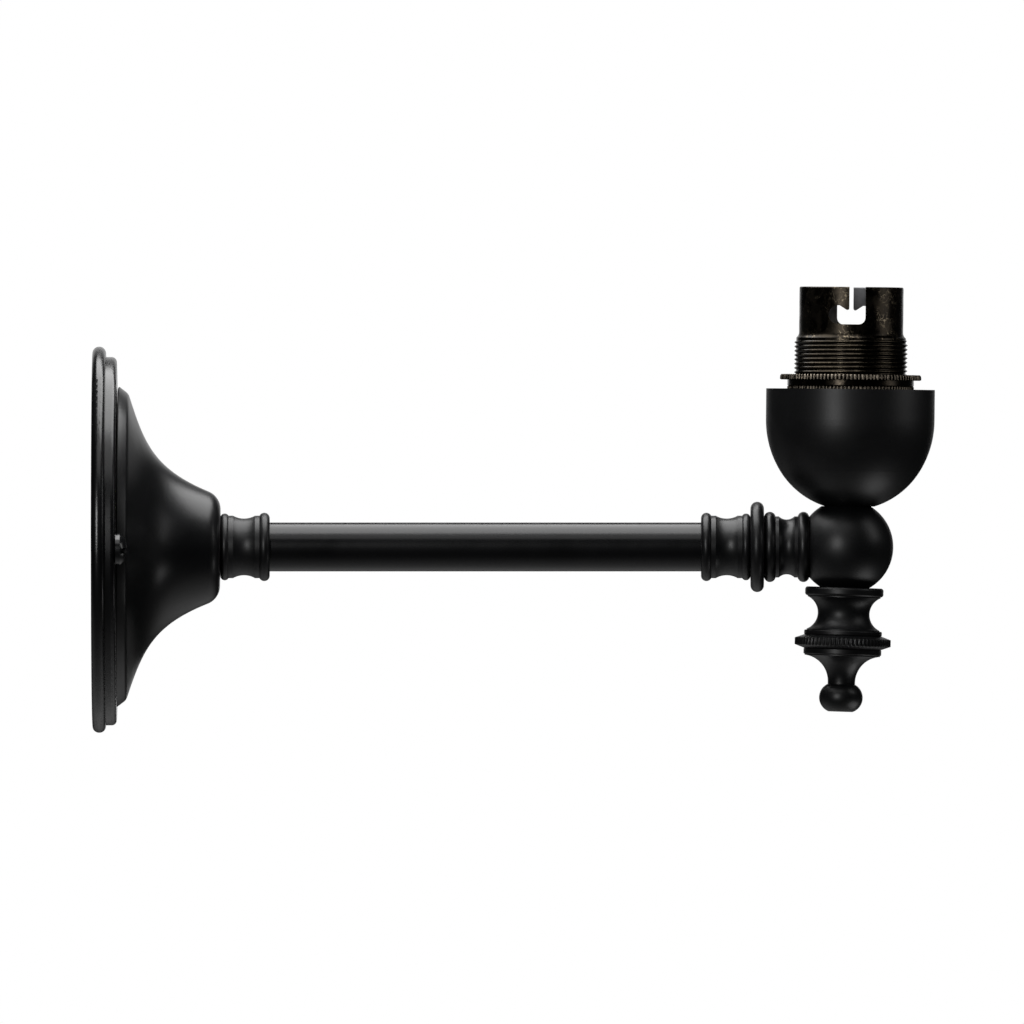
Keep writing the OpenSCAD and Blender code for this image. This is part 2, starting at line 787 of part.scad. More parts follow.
// Ball fitting
module ball_fitting() {
    color(satin_black) difference() {
        translate([ball_x, 0, 0]) sphere(r = ball_r, $fn = round_fn);
        translate([ball_x, 0, 0]) sphere(r = chamber_r, $fn = round_fn);
        along_arm(ball_face_x - ball_r) cylinder(r = 2 * ball_r, h = ball_r, $fn = small_fn);
        along_arm(ball_face_x - 1) cylinder(r = tube_r + fit_gap, h = ball_side + 1, $fn = round_fn);
        on_head() {
            translate([0, 0, ball_top]) cylinder(r = 2 * ball_r, h = ball_r, $fn = small_fn);
            cylinder(r = nipple_r + fit_gap, h = ball_top + 1, $fn = round_fn);
        }
        under_ball() {
            translate([0, 0, ball_bottom]) cylinder(r = 2 * ball_r, h = ball_r, $fn = small_fn);
            cylinder(r = stud_r + fit_gap, h = ball_bottom + 1, $fn = round_fn);
        }
    }
}

// Cup and what holds the lampholder in it
module head_nipple() {
    start = ball_top - nipple_grip;
    run = holder_z + nipple_reach - start;
    color(bright_brass) on_head() translate([0, 0, start]) bored(nipple_bore_r, run)
        cylinder(r = nipple_r, h = run, $fn = round_fn);
}

module bowl(shrink, bottom) {
    side_r = bowl_side_r - shrink;
    bottom_r = bowl_bottom_r - shrink;
    meet_z = lip_z - bowl_drop * side_r / (bowl_side_r - bowl_bottom_r);
    band(bottom, meet_z + 1) translate([0, bowl_z]) circle(r = bottom_r, $fn = round_fn);
    band(meet_z, lip_z) translate([cup_r - bowl_side_r, lip_z]) circle(r = side_r, $fn = round_fn);
    translate([0, lip_z]) square([cup_r - shrink, cup_lip_h + shrink]);
}

module cup() {
    color(satin_black) on_head() difference() {
        revolve() bowl(0, ball_top);
        revolve() bowl(cup_t, floor_z);
        cylinder(r = nipple_r + hole_gap, h = lip_z, $fn = round_fn);
    }
}

module cup_nut() {
    color(zinc) on_head() translate([0, 0, floor_z]) hexagon(cup_nut_w, cup_nut_t, nipple_r + fit_gap);
}

// Lampholder: cover, insulator, contacts, barrel and rings
module cap_outer() {
    square([boss_r, boss_h + cap_round]);
    translate([0, boss_h]) rounded_disc(cap_r, cap_h - boss_h, cap_round, edge_round);
}

module cap_inner() {
    translate([0, boss_h + cap_t]) rounded_disc(cap_inner_r, cap_h, cap_round - cap_t, edge_round);
    translate([0, ledge_h]) square([cap_bore_r, cap_h]);
}

module holder_cap() {
    color(aged_brass) on_head() translate([0, 0, holder_z]) difference() {
        revolve() difference() {
            cap_outer();
            cap_inner();
        }
        translate([0, 0, -1]) cylinder(r = nipple_r + fit_gap, h = cap_h, $fn = round_fn);
    }
}

module contact_places() {
    on_head() rotate([0, 0, contact_turn]) for (way = [0, 180]) rotate([0, 0, way])
        translate([contact_reach, 0, 0]) children();
}

module insulator() {
    color(porcelain) difference() {
        on_head() {
            translate([0, 0, ledge_z]) revolve() {
                rounded_disc(cap_bore_r - head_gap, insulator_flange_t, edge_round, edge_round);
                rounded_disc(barrel_bore_r - hole_gap, insulator_top_z - ledge_z, edge_round, flange_round);
            }
            rotate([0, 0, contact_turn]) translate([-barrier_t / 2, -barrier_l / 2, insulator_top_z - 1])
                cube([barrier_t, barrier_l, barrier_h + 1]);
        }
        contact_places() cylinder(r = sleeve_r + fit_gap, h = mouth_z, $fn = small_fn);
    }
}

module contact_sleeves() {
    run = insulator_top_z - sleeve_z;
    color(bright_brass) contact_places() translate([0, 0, sleeve_z]) difference() {
        revolve() difference() {
            square([sleeve_r, run]);
            square([wire_r + hole_gap, wire_hole_h]);
            translate([0, run - sleeve_depth]) square([sleeve_bore_r, sleeve_depth - sleeve_lip_t]);
            translate([0, run - sleeve_depth]) square([tip_r + plunger_gap, sleeve_depth + 1]);
        }
        translate([0, 0, sleeve_tail / 2]) rotate([0, 90, 0])
            cylinder(r = clamp_r + fit_gap, h = sleeve_r + 1, $fn = small_fn);
    }
}

module sleeve_screws() {
    color(zinc) contact_places() translate([sleeve_r, 0, sleeve_z + sleeve_tail / 2])
        rotate([0, 90, 0]) {
            slotted_head(clamp_head_r, clamp_head_h, 2 * clamp_head_r, small_slot_w, small_slot_d);
            translate([0, 0, wire_r + fit_gap - sleeve_r])
                cylinder(r = clamp_r, h = sleeve_r - wire_r + clamp_head_h / 4, $fn = small_fn);
        }
}

module plunger(way) {
    color(bright_brass) on_head() rotate([0, 0, contact_turn + way])
        translate([contact_reach, 0, plunger_z]) revolve() {
            rounded_disc(sleeve_bore_r - plunger_gap, plunger_collar_h, edge_round, edge_round);
            rounded_disc(tip_r, plunger_collar_h + sleeve_lip_t + tip_h, edge_round, tip_round);
        }
}

module plunger_left() {
    plunger(180);
}

module plunger_right() {
    plunger(0);
}

// A contact spring is a wound wire of few facets, because it is out of sight
module spring(way) {
    coil_r = sleeve_bore_r - spring_wire_r - hole_gap;
    rise = plunger_z - spring_z - 2 * spring_wire_r;
    turns = spring_turns;
    steps = 10 * turns;
    color(zinc) on_head() rotate([0, 0, contact_turn + way])
        translate([contact_reach, 0, spring_z + spring_wire_r])
            sweep([
                for (i = [0 : steps])
                    [coil_r * cos(36 * i), coil_r * sin(36 * i), rise * i / steps]
            ], spring_wire_r, [0, 0, 1], 5);
}

module spring_left() {
    spring(180);
}

module spring_right() {
    spring(0);
}

module bayonet_slot() {
    left = slot_offset - bayonet_w / 2;
    right = slot_offset + bayonet_w / 2;
    low = mouth_z - pocket_depth;
    top = low + pocket_h;
    end_r = pocket_h / 2;
    end_x = slot_offset - pocket_reach + end_r;
    tip = top - tongue_drop;
    rotate([90, 0, 0]) linear_extrude(height = thread_r + 1) difference() {
        union() {
            translate([left, low]) square([bayonet_w - slot_corner, mouth_z - low + 1]);
            translate([left, low + slot_corner]) square([bayonet_w, mouth_z - low + 1]);
            translate([right - slot_corner, low + slot_corner]) circle(r = slot_corner, $fn = small_fn);
            translate([end_x, low]) square([right - slot_corner - end_x, pocket_h]);
            translate([end_x, low + end_r]) circle(r = end_r, $fn = small_fn);
        }
        polygon([
            [left - tongue_tip, tip], [left, tip + tongue_tip], [left, top + 1],
            [left - tongue_tip - tongue_slope, top + 1], [left - tongue_tip - tongue_slope, top]
        ]);
    }
}

module barrel_profile() {
    difference() {
        square([thread_r, thread_len + neck_fillet]);
        translate([barrel_r + neck_fillet, thread_len + neck_fillet])
            circle(r = neck_fillet, $fn = round_fn);
    }
    rounded_disc(barrel_r, barrel_len, edge_round, edge_round);
}

module holder_barrel() {
    color(aged_brass) on_head() difference() {
        translate([0, 0, barrel_z]) bored(socket_r, barrel_len) revolve() barrel_profile();
        translate([0, 0, barrel_z - 1])
            cylinder(r = barrel_bore_r, h = barrel_len - socket_guide + 1, $fn = round_fn);
        for (way = [0, 180]) rotate([0, 0, way]) bayonet_slot();
    }
}

module shade_ring() {
    run = ring_collar_h + flange_t;
    color(aged_brass) on_head() translate([0, 0, shade_ring_z]) bored(thread_r + fit_gap, run) union() {
        cylinder(r = ring_r, h = run, $fn = round_fn);
        translate([0, 0, ring_collar_h]) linear_extrude(height = flange_t)
            knurl_outline(flange_r, flange_teeth);
    }
}

module lock_ring() {
    color(aged_brass) on_head() translate([0, 0, lock_ring_z]) bored(thread_r + fit_gap, lock_ring_h)
        linear_extrude(height = lock_ring_h) knurl_outline(ring_r, lock_teeth);
}

// Spool, knurled ring and finial, held by one stud
module spool_profile() {
    middle = spool_len - spool_flange_t - spool_fillet_t;
    half = middle / 2 - cove_land;
    depth = spool_shoulder_r - spool_waist_r;
    cove_r = (pow(half, 2) + pow(depth, 2)) / (2 * depth);
    rounded_disc(spool_flange_r, spool_flange_t, flange_round, flange_round);
    difference() {
        square([spool_shoulder_r, spool_len - edge_round]);
        translate([spool_waist_r + cove_r, spool_flange_t + middle / 2])
            circle(r = cove_r, $fn = round_fn);
    }
    translate([0, spool_len - spool_fillet_t])
        rounded_disc(finial_fillet_r, spool_fillet_t, edge_round, edge_round);
}

module spool() {
    color(satin_black) under_ball() translate([0, 0, ball_bottom])
        bored(stud_r + hole_gap, spool_len) revolve() spool_profile();
}

module knurled_ring() {
    bevel = (ring_knurl_t - ring_band_t) / 2;
    root = ring_knurl_r - knurl_depth - fit_gap;
    color(satin_black) under_ball() translate([0, 0, ring_z]) bored(stud_r + hole_gap, ring_knurl_t) union() {
        revolve() polygon([
            [0, 0], [finial_fillet_r, 0], [root, bevel], [root, ring_knurl_t - bevel],
            [finial_fillet_r, ring_knurl_t], [0, ring_knurl_t]
        ]);
        translate([0, 0, bevel]) linear_extrude(height = ring_band_t)
            knurl_outline(ring_knurl_r, ring_teeth);
    }
}

module finial_profile() {
    axis_r = finial_neck_r + finial_flare_r;
    bun_axis_r = bun_r - bun_round;
    neck_foot = bun_z - sqrt(pow(bun_round, 2) - pow(finial_neck_r - bun_axis_r, 2));
    rounded_disc(finial_fillet_r, finial_fillet_t, edge_round, edge_round);
    translate([0, edge_round]) difference() {
        square([finial_fillet_r - edge_round, neck_z - finial_z - edge_round]);
        translate([axis_r, neck_z - finial_z - edge_round]) circle(r = finial_flare_r, $fn = round_fn);
    }
    translate([0, finial_fillet_t]) square([finial_neck_r, neck_foot - flare_z]);
    band(bun_z - finial_z - bun_half_h, bun_z - finial_z + bun_half_h) {
        translate([0, bun_z - finial_z - bun_half_h]) square([bun_axis_r, 2 * bun_half_h]);
        translate([bun_axis_r, bun_z - finial_z]) circle(r = bun_round, $fn = round_fn);
    }
}

module finial() {
    color(satin_black) under_ball() translate([0, 0, finial_z]) difference() {
        revolve() finial_profile();
        translate([0, 0, -1]) cylinder(r = stud_r + fit_gap, h = stud_bite + 1, $fn = small_fn);
    }
}

module finial_stud() {
    start = ball_bottom - stud_grip;
    color(zinc) under_ball() translate([0, 0, start])
        cylinder(r = stud_r, h = finial_z + stud_bite - start, $fn = small_fn);
}

// Terminal block, earth point and wires
module pole_places() {
    on_plate(rim_lift) for (y = [-pole_pitch, 0, pole_pitch]) translate([pole_x, y, 0]) children();
}

module clamp_places() {
    pole_places() for (z = [-clamp_pitch / 2, clamp_pitch / 2]) translate([0, 0, z]) rotate([0, 90, 0])
        children();
}

module bolt_places() {
    on_plate(rim_lift) for (y = [-pole_pitch / 2, pole_pitch / 2]) translate([0, y, 0])
        rotate([0, 90, 0]) children();
}

module terminal_block() {
    color(nylon) difference() {
        on_plate(rim_lift) translate([strap_t, -block_w / 2, -block_l / 2])
            cube([block_h, block_w, block_l]);
        pole_places() translate([0, 0, -block_l / 2 - 1])
            cylinder(r = insert_r + fit_gap, h = block_l + 2, $fn = small_fn);
        clamp_places() cylinder(r = clamp_head_r + hole_gap, h = block_h, $fn = small_fn);
        bolt_places() {
            cylinder(r = clamp_r + hole_gap, h = block_face_x + 1, $fn = small_fn);
            translate([0, 0, block_face_x - clamp_head_h])
                cylinder(r = bolt_head_r + hole_gap, h = block_h, $fn = small_fn);
        }
    }
}

module block_inserts() {
    color(bright_brass) difference() {
        pole_places() translate([0, 0, -insert_len / 2]) bored(insert_bore_r, insert_len)
            cylinder(r = insert_r, h = insert_len, $fn = small_fn);
        clamp_places() cylinder(r = clamp_r + fit_gap, h = block_h, $fn = small_fn);
    }
}

module block_screws() {
    color(zinc) clamp_places() translate([0, 0, wire_r + fit_gap]) {
        cylinder(r = clamp_r, h = insert_r - wire_r + clamp_head_h / 2, $fn = small_fn);
        translate([0, 0, insert_r - wire_r])
            slotted_head(clamp_head_r, clamp_head_h, 2 * clamp_head_r, small_slot_w, small_slot_d);
    }
}

module block_bolts() {
    color(zinc) bolt_places() {
        cylinder(r = clamp_r, h = block_face_x - clamp_head_h / 2, $fn = small_fn);
        translate([0, 0, block_face_x - clamp_head_h])
            slotted_head(bolt_head_r, clamp_head_h, 2 * bolt_head_r, small_slot_w, small_slot_d);
    }
}

module earth_screw() {
    seat = strap_t + earth_tag_t;
    color(bright_brass) on_plate(rim_lift) translate([0, earth_y, 0]) rotate([0, 90, 0]) {
        cylinder(r = earth_r, h = seat + earth_head_h / 4, $fn = small_fn);
        translate([0, 0, seat])
            slotted_head(earth_head_r, earth_head_h, 2 * earth_head_r, slot_cut_w, slot_cut_d);
    }
}

// Ring tag with a crimped barrel that points up along the strap
module earth_tag() {
    barrel_r = wire_r + hole_gap + earth_tag_t;
    color(zinc) on_plate(rim_lift) translate([strap_t, earth_y, 0]) difference() {
        union() {
            rotate([0, 90, 0]) cylinder(r = earth_head_r, h = earth_tag_t, $fn = small_fn);
            translate([0, -wire_r, 0]) cube([earth_tag_t, 2 * wire_r, tag_reach + 1]);
            translate([barrel_r, 0, tag_reach]) cylinder(r = barrel_r, h = tag_barrel, $fn = small_fn);
        }
        translate([-1, 0, 0]) rotate([0, 90, 0])
            cylinder(r = earth_r + hole_gap, h = earth_tag_t + 2, $fn = small_fn);
        translate([barrel_r, 0, tag_reach + 1])
            cylinder(r = wire_r + hole_gap, h = tag_barrel, $fn = small_fn);
    }
}

// Inner wires, from the poles through the tube, the ball and the nipple to the sleeves
module lamp_wire(way, points) {
    start = [plate_point(pole_x, way * pole_pitch, 2), plate_point(pole_x, way * pole_pitch, 12)];
    sweep(bend(concat(start, points), 3), wire_r, [1, 0, 0], 8);
}

module live_wire() {
    turn = [cos(contact_turn), sin(contact_turn)];
    foot = 1.4 * turn;
    pin = contact_reach * turn;
    color([0.45, 0.26, 0.14]) lamp_wire(-1, [
        [11, -6, 16], [18, -3, 12], [19, -1.6, 0], [26, -1.4, 0], [34, -1.4, 0],
        [run_end_x, -1.4, 0], [ball_x - 5, -1.4, 0], [ball_x + 2.6, -1.2, -0.6],
        head_point(foot[0], foot[1], 6), head_point(foot[0], foot[1], holder_z + 3),
        head_point(pin[0], pin[1], sleeve_z - 2.4), head_point(pin[0], pin[1], sleeve_z + 1),
        head_point(pin[0], pin[1], sleeve_z + 4.5)
    ]);
}

module neutral_wire() {
    turn = [cos(contact_turn), sin(contact_turn)];
    foot = -1.4 * turn;
    pin = -contact_reach * turn;
    color([0.16, 0.24, 0.42]) lamp_wire(1, [
        [11, 6, 16], [18, 3, 12], [19, 1.6, 0], [26, 1.4, 0], [34, 1.4, 0],
        [run_end_x, 1.4, 0], [ball_x - 8, 1.4, 0.2], [ball_x - 0.8, 1.3, 0.6],
        head_point(foot[0], foot[1], 6), head_point(foot[0], foot[1], holder_z + 3),
        head_point(pin[0], pin[1], sleeve_z - 2.4), head_point(pin[0], pin[1], sleeve_z + 1),
        head_point(pin[0], pin[1], sleeve_z + 4.5)
    ]);
}

module earth_wire() {
    tag_x = strap_t + wire_r + hole_gap + earth_tag_t;
    color([0.3, 0.42, 0.2]) sweep(bend([
        plate_point(pole_x, 0, 2), plate_point(pole_x, 0, 13), plate_point(pole_x + 1, -7, 17),
        plate_point(tag_x, earth_y, 15), plate_point(tag_x, earth_y, tag_reach + tag_barrel),
        plate_point(tag_x, earth_y, tag_reach + 1.5)
    ], 3), wire_r, [1, 0, 0], 8);
}

wall_strap();
wall_plate();
fixing_screws();
rose();
rose_screws();
back_washer();
back_nut();
arm_tube();
base_collar();
outer_collar();
disc_ring();
ball_collar();
ball_fitting();
head_nipple();
cup();
cup_nut();
holder_cap();
insulator();
contact_sleeves();
sleeve_screws();
plunger_left();
plunger_right();
spring_left();
spring_right();
holder_barrel();
shade_ring();
lock_ring();
spool();
knurled_ring();
finial();
finial_stud();
terminal_block();
block_inserts();
block_screws();
block_bolts();
earth_screw();
earth_tag();
live_wire();
neutral_wire();
earth_wire();
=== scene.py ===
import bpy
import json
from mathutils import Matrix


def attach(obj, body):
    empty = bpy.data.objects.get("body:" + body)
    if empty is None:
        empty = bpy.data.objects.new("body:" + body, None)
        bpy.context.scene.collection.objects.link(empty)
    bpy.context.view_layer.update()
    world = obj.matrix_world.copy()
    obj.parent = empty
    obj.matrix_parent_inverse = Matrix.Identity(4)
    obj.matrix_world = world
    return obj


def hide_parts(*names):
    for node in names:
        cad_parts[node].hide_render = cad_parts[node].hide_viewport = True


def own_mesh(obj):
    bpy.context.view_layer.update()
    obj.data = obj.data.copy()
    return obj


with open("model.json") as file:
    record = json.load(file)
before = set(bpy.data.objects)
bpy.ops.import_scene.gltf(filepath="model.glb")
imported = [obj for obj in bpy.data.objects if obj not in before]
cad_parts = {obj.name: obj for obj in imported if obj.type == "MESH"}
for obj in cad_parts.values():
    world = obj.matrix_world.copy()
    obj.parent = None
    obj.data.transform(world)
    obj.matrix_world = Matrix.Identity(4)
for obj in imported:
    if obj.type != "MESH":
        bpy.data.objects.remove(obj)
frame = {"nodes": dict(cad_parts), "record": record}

"""Dresses the lamp wall bracket: a finish for every piece, finer forms for a few, light and camera.

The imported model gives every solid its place. This script gives them their finishes, and puts a few
pieces with finer forms in the place of plain solids: the rose with its one flowing flare, the
threaded barrel of the lampholder with its bayonet slots, the knurled rings, and the two contact
springs, which flatten. All places are in metres, in the frame of the solids: +X out of the wall
along the arm, +Z up, and the origin on the wall behind the arm.
"""

import json
import logging
import math
from dataclasses import dataclass, field
from enum import Enum
from typing import Callable, Iterable, Sequence

import bmesh
import bpy
from mathutils import Matrix, Vector

LOG = logging.getLogger("bracket")
MM = 0.001
FULL_TURN = 2 * math.pi
VIEW_CENTRE = (0.10865, 0.0, 0.00904)

Point2 = tuple[float, float]
Point3 = tuple[float, float, float]
Colour = tuple[float, float, float, float]
BMesh = bmesh.types.BMesh
Material = bpy.types.Material
Node = bpy.types.Node
NodeTree = bpy.types.NodeTree
Piece = bpy.types.Object
Socket = bpy.types.NodeSocket


def shade(red: float, green: float, blue: float) -> Colour:
    """Returns an opaque linear colour."""
    return (red, green, blue, 1.0)


def grey(level: float) -> Colour:
    """Returns an opaque linear grey."""
    return shade(level, level, level)


# Frames of the sub-assemblies


@dataclass(frozen=True)
class Layout:
    """Where the sub-assemblies stand, in millimetres and degrees, as in the part's source."""

    ball_x: float = 195.1
    head_offset: float = 0.8
    head_lean: float = 0.6
    foot_lean: float = 1.87
    rim_lift: float = 1.86
    plate_turn: float = 3.2

    def head(self) -> Matrix:
        """Returns the frame of the cup and lampholder: Z up its axis from the ball's centre."""
        place = Matrix.Translation(Vector((self.ball_x + self.head_offset, 0, 0)) * MM)
        return place @ Matrix.Rotation(math.radians(self.head_lean), 4, "Y")

    def plate(self) -> Matrix:
        """Returns the frame of the wall plate, which sits high of the arm and a little turned."""
        lift = Matrix.Translation(Vector((0, 0, self.rim_lift)) * MM)
        return lift @ Matrix.Rotation(math.radians(self.plate_turn), 4, "X")

    def foot(self) -> Matrix:
        """Returns the frame of the spool and finial: Z down its axis from the ball's centre."""
        place = Matrix.Translation(Vector((self.ball_x, 0, 0)) * MM)
        lean = Matrix.Rotation(math.radians(self.foot_lean), 4, "Y")
        return place @ lean @ Matrix.Rotation(math.pi, 4, "X")


# Shader node helpers and shared effects


class Tree:
    """A thin wrapper round a node tree that makes and joins nodes."""

    def __init__(self, tree: NodeTree) -> None:
        """Wraps a material's, world's or group's own node tree."""
        self.tree = tree

    @classmethod
    def fresh(cls, owner: bpy.types.ID) -> "Tree":
        """Switches a material or world to nodes and empties its tree.

        Args:
            owner: The material or world.

        Returns:
            The wrapped tree.
        """
        owner.use_nodes = True
        owner.node_tree.nodes.clear()
        return cls(owner.node_tree)

    def add(self, kind: str, **settings: object) -> Node:
        """Makes a node.

        Args:
            kind: The node's Blender type, such as ShaderNodeTexNoise.
            settings: Properties of the node, by name.

        Returns:
            The new node.
        """
        node = self.tree.nodes.new(kind)
        for name, value in settings.items():
            setattr(node, name, value)
        return node

    def join(self, source: Socket, target: Socket) -> None:
        """Joins an output to an input."""
        self.tree.links.new(source, target)

    def feed(self, target: Socket, value: object) -> None:
        """Gives an input its value.

        Args:
            target: The input.
            value: An output socket to join to it, or a plain value.
        """
        if isinstance(value, Socket):
            self.join(value, target)
        else:
            target.default_value = value

    def put(self, node: Node, **values: object) -> Node:
        """Sets input sockets of a node by name, with underscores for spaces.

        Args:
            node: The node whose sockets are set.
            values: A value or an output socket for each input.

        Returns:
            The same node.
        """
        for name, value in values.items():
            self.feed(node.inputs[name.replace("_", " ")], value)
        return node

    def math(self, operation: str, *values: object, clamp: bool = False) -> Socket:
        """Adds a Math node.

        Args:
            operation: The node's operation.
            values: Numbers or output sockets, one for each input.
            clamp: Whether the result is kept between 0 and 1.

        Returns:
            The node's output.
        """
        node = self.add("ShaderNodeMath", operation=operation, use_clamp=clamp)
        for socket, value in zip(node.inputs, values):
            self.feed(socket, value)
        return node.outputs[0]

    def vector(self, operation: str, first: Socket, second: object) -> Socket:
        """Adds a Vector Math node.

        Args:
            operation: The node's operation.
            first: The first vector.
            second: The second vector, or the factor of a SCALE.

        Returns:
            The node's output.
        """
        node = self.add("ShaderNodeVectorMath", operation=operation)
        self.join(first, node.inputs[0])
        self.feed(node.inputs["Scale" if operation == "SCALE" else 1], second)
        return node.outputs[0]

    def spread(self, value: Socket, low: object, high: object,
               to_low: float = 0.0, to_high: float = 1.0) -> Socket:
        """Maps a value from one range to another with a soft step.

        Args:
            value: The output to map.
            low: Where the step begins.
            high: Where it ends.
            to_low: The result below the step.
            to_high: The result above the step.

        Returns:
            The mapped output.
        """
        node = self.add("ShaderNodeMapRange", interpolation_type="SMOOTHSTEP")
        self.put(node, Value=value, From_Min=low, From_Max=high, To_Min=to_low, To_Max=to_high)
        return node.outputs["Result"]

    def mix(self, factor: object, first: object, second: object) -> Socket:
        """Mixes two colours.

        Args:
            factor: A number or output from 0 to 1.
            first: The colour at 0.
            second: The colour at 1.

        Returns:
            The mixed colour.
        """
        node = self.add("ShaderNodeMix", data_type="RGBA")
        for index, value in ((0, factor), (6, first), (7, second)):
            self.feed(node.inputs[index], value)
        return node.outputs[2]

    def noise(self, place: Socket, scale: Socket, **values: float) -> Node:
        """Adds a noise texture at a place and scale, and sets its other inputs by name."""
        return self.put(self.add("ShaderNodeTexNoise"), Vector=place, Scale=scale, **values)

    def effect(self, kind: "Effect", place: Socket, **values: float) -> Socket:
        """Places a shared effect and sets its inputs.

        Args:
            kind: The effect to place.
            place: Where on the object it is.
            values: A value for each of its other inputs.

        Returns:
            The effect's output.
        """
        node = self.add("ShaderNodeGroup")
        node.node_tree = EFFECTS.tree(kind)
        return self.put(node, Vector=place, **values).outputs[0]


class Effect(Enum):
    """The effects that several finishes share."""

    GRAIN = "fine_grain"
    MOTTLE = "mottle"
    SCRATCHES = "hair_scratches"


class Effects:
    """Builds each shared effect once, as a shader node group."""

    def __init__(self) -> None:
        """Starts with no group built."""
        self._trees: dict[Effect, NodeTree] = {}

    def tree(self, kind: Effect) -> NodeTree:
        """Returns the group's tree, and builds it on first use.

        Args:
            kind: The effect asked for.

        Returns:
            The node group.
        """
        makers = {Effect.GRAIN: self._grain, Effect.MOTTLE: self._mottle,
                  Effect.SCRATCHES: self._scratches}
        if kind not in self._trees:
            self._trees[kind] = makers[kind]()
        return self._trees[kind]

    @staticmethod
    def _open(kind: Effect, output: str,
              **inputs: float) -> tuple[Tree, Socket, list[Socket], Socket]:
        """Makes an empty group with its sockets.

        Args:
            kind: The effect that the group holds.
            output: Name of its one number output.
            inputs: Name and first value of each number input.

        Returns:
            The tree, the place given to it, the numbers given to it, and the output to fill.
        """
        group = bpy.data.node_groups.new(kind.value, "ShaderNodeTree")
        group.interface.new_socket("Vector", in_out="INPUT", socket_type="NodeSocketVector")
        number = "NodeSocketFloat"
        for label, value in inputs.items():
            socket = group.interface.new_socket(label, in_out="INPUT", socket_type=number)
            socket.default_value = value
        group.interface.new_socket(output, in_out="OUTPUT", socket_type=number)
        tree = Tree(group)
        given = tree.add("NodeGroupInput").outputs
        result = tree.add("NodeGroupOutput").inputs[output]
        return tree, given["Vector"], [given[label] for label in inputs], result

    def _grain(self) -> NodeTree:
        """Builds the fine pebbly height of a sprayed or moulded skin.

        Returns:
            The node group.
        """
        wide_share = 0.22
        tree, place, (scale, coarse), result = self._open(
            Effect.GRAIN, "Height", Scale=1500.0, Coarse=0.4)
        wide_scale = tree.math("MULTIPLY", scale, wide_share)
        fine = tree.noise(place, scale, Detail=2.0, Roughness=0.5)
        wide = tree.noise(place, wide_scale, Detail=1.0, Roughness=0.5)
        part = tree.math("MULTIPLY", wide.outputs[0], coarse)
        tree.join(tree.math("ADD", fine.outputs[0], part), result)
        return tree.tree

    def _mottle(self) -> NodeTree:
        """Builds soft cloudy patches between 0 and 1.

        Returns:
            The node group.
        """
        middle = 0.5
        tree, place, (scale, edge), result = self._open(
            Effect.MOTTLE, "Mask", Scale=60.0, Edge=0.12)
        noise = tree.noise(place, scale, Detail=5.0, Roughness=0.62, Distortion=0.6)
        low, high = (tree.math(way, middle, edge) for way in ("SUBTRACT", "ADD"))
        tree.join(tree.spread(noise.outputs[0], low, high), result)
        return tree.tree

    def _scratches(self) -> NodeTree:
        """Builds thin crooked lines, like rubbed scratches, between 0 and 1.

        Returns:
            The node group.
        """
        tree, place, (scale, width, bend), result = self._open(
            Effect.SCRATCHES, "Mask", Scale=350.0, Width=0.03, Bend=0.5)
        warp = tree.noise(place, scale, Detail=2.0, Roughness=0.6)
        centred = tree.vector("SUBTRACT", warp.outputs["Color"], (0.5, 0.5, 0.5))
        push = tree.vector("SCALE", centred, tree.math("DIVIDE", bend, scale))
        cells = tree.put(tree.add("ShaderNodeTexVoronoi", feature="DISTANCE_TO_EDGE"),
                         Vector=tree.vector("ADD", place, push), Scale=scale)
        tree.join(tree.spread(cells.outputs["Distance"], 0.0, width, 1.0, 0.0), result)
        return tree.tree


EFFECTS = Effects()


# Finishes


@dataclass(frozen=True)
class Mottle:
    """Cloudy patches: how many to a metre and how soft their edges are."""

    scale: float
    edge: float

    def mask(self, tree: Tree, place: Socket) -> Socket:
        """Places the patches in a material and returns their mask."""
        return tree.effect(Effect.MOTTLE, place, Scale=self.scale, Edge=self.edge)


@dataclass(frozen=True)
class Relief:
    """A fine relief: its effect, its depth in metres and the effect's own numbers."""

    kind: Effect
    depth: float
    numbers: tuple[tuple[str, float], ...]


@dataclass(frozen=True)
class Finish:
    """A finish of two tones in cloudy patches, with gloss that follows them and a fine relief."""

    name: str
    first: Colour
    second: Colour
    smooth: float
    rough: float
    clouds: Mottle
    relief: Relief
    metallic: float = 0.0
    index: float = 1.5

    def tones(self, tree: Tree, place: Socket, cloud: Socket) -> Socket:
        """Mixes the two tones by the patches; `place` is for finishes with more than these."""
        return tree.mix(cloud, self.first, self.second)

    def build(self) -> Material:
        """Makes the finish's material.

        Returns:
            The material.
        """
        material = bpy.data.materials.new(self.name)
        tree = Tree.fresh(material)
        shader = tree.add("ShaderNodeBsdfPrincipled")
        tree.join(shader.outputs[0], tree.add("ShaderNodeOutputMaterial").inputs["Surface"])
        place = tree.add("ShaderNodeTexCoord").outputs["Object"]
        cloud = self.clouds.mask(tree, place)
        height = tree.effect(self.relief.kind, place, **dict(self.relief.numbers))
        bump = tree.put(tree.add("ShaderNodeBump"), Strength=1.0, Distance=self.relief.depth,
                        Height=height)
        tree.put(shader, Base_Color=self.tones(tree, place, cloud), Metallic=self.metallic,
                 Roughness=tree.spread(cloud, 0.0, 1.0, self.smooth, self.rough),
                 IOR=self.index, Normal=bump.outputs["Normal"])
        return material


@dataclass(frozen=True)
class SatinCoat(Finish):
    """Satin black powder coat on castings and tube, with a faint pebble."""

    name: str = "satin_black_coat"
    first: Colour = shade(0.0026, 0.0028, 0.0032)
    second: Colour = shade(0.0046, 0.0048, 0.0056)
    smooth: float = 0.21
    rough: float = 0.25
    clouds: Mottle = Mottle(38.0, 0.22)
    relief: Relief = Relief(Effect.GRAIN, 0.000006, (("Scale", 1900.0), ("Coarse", 0.8)))


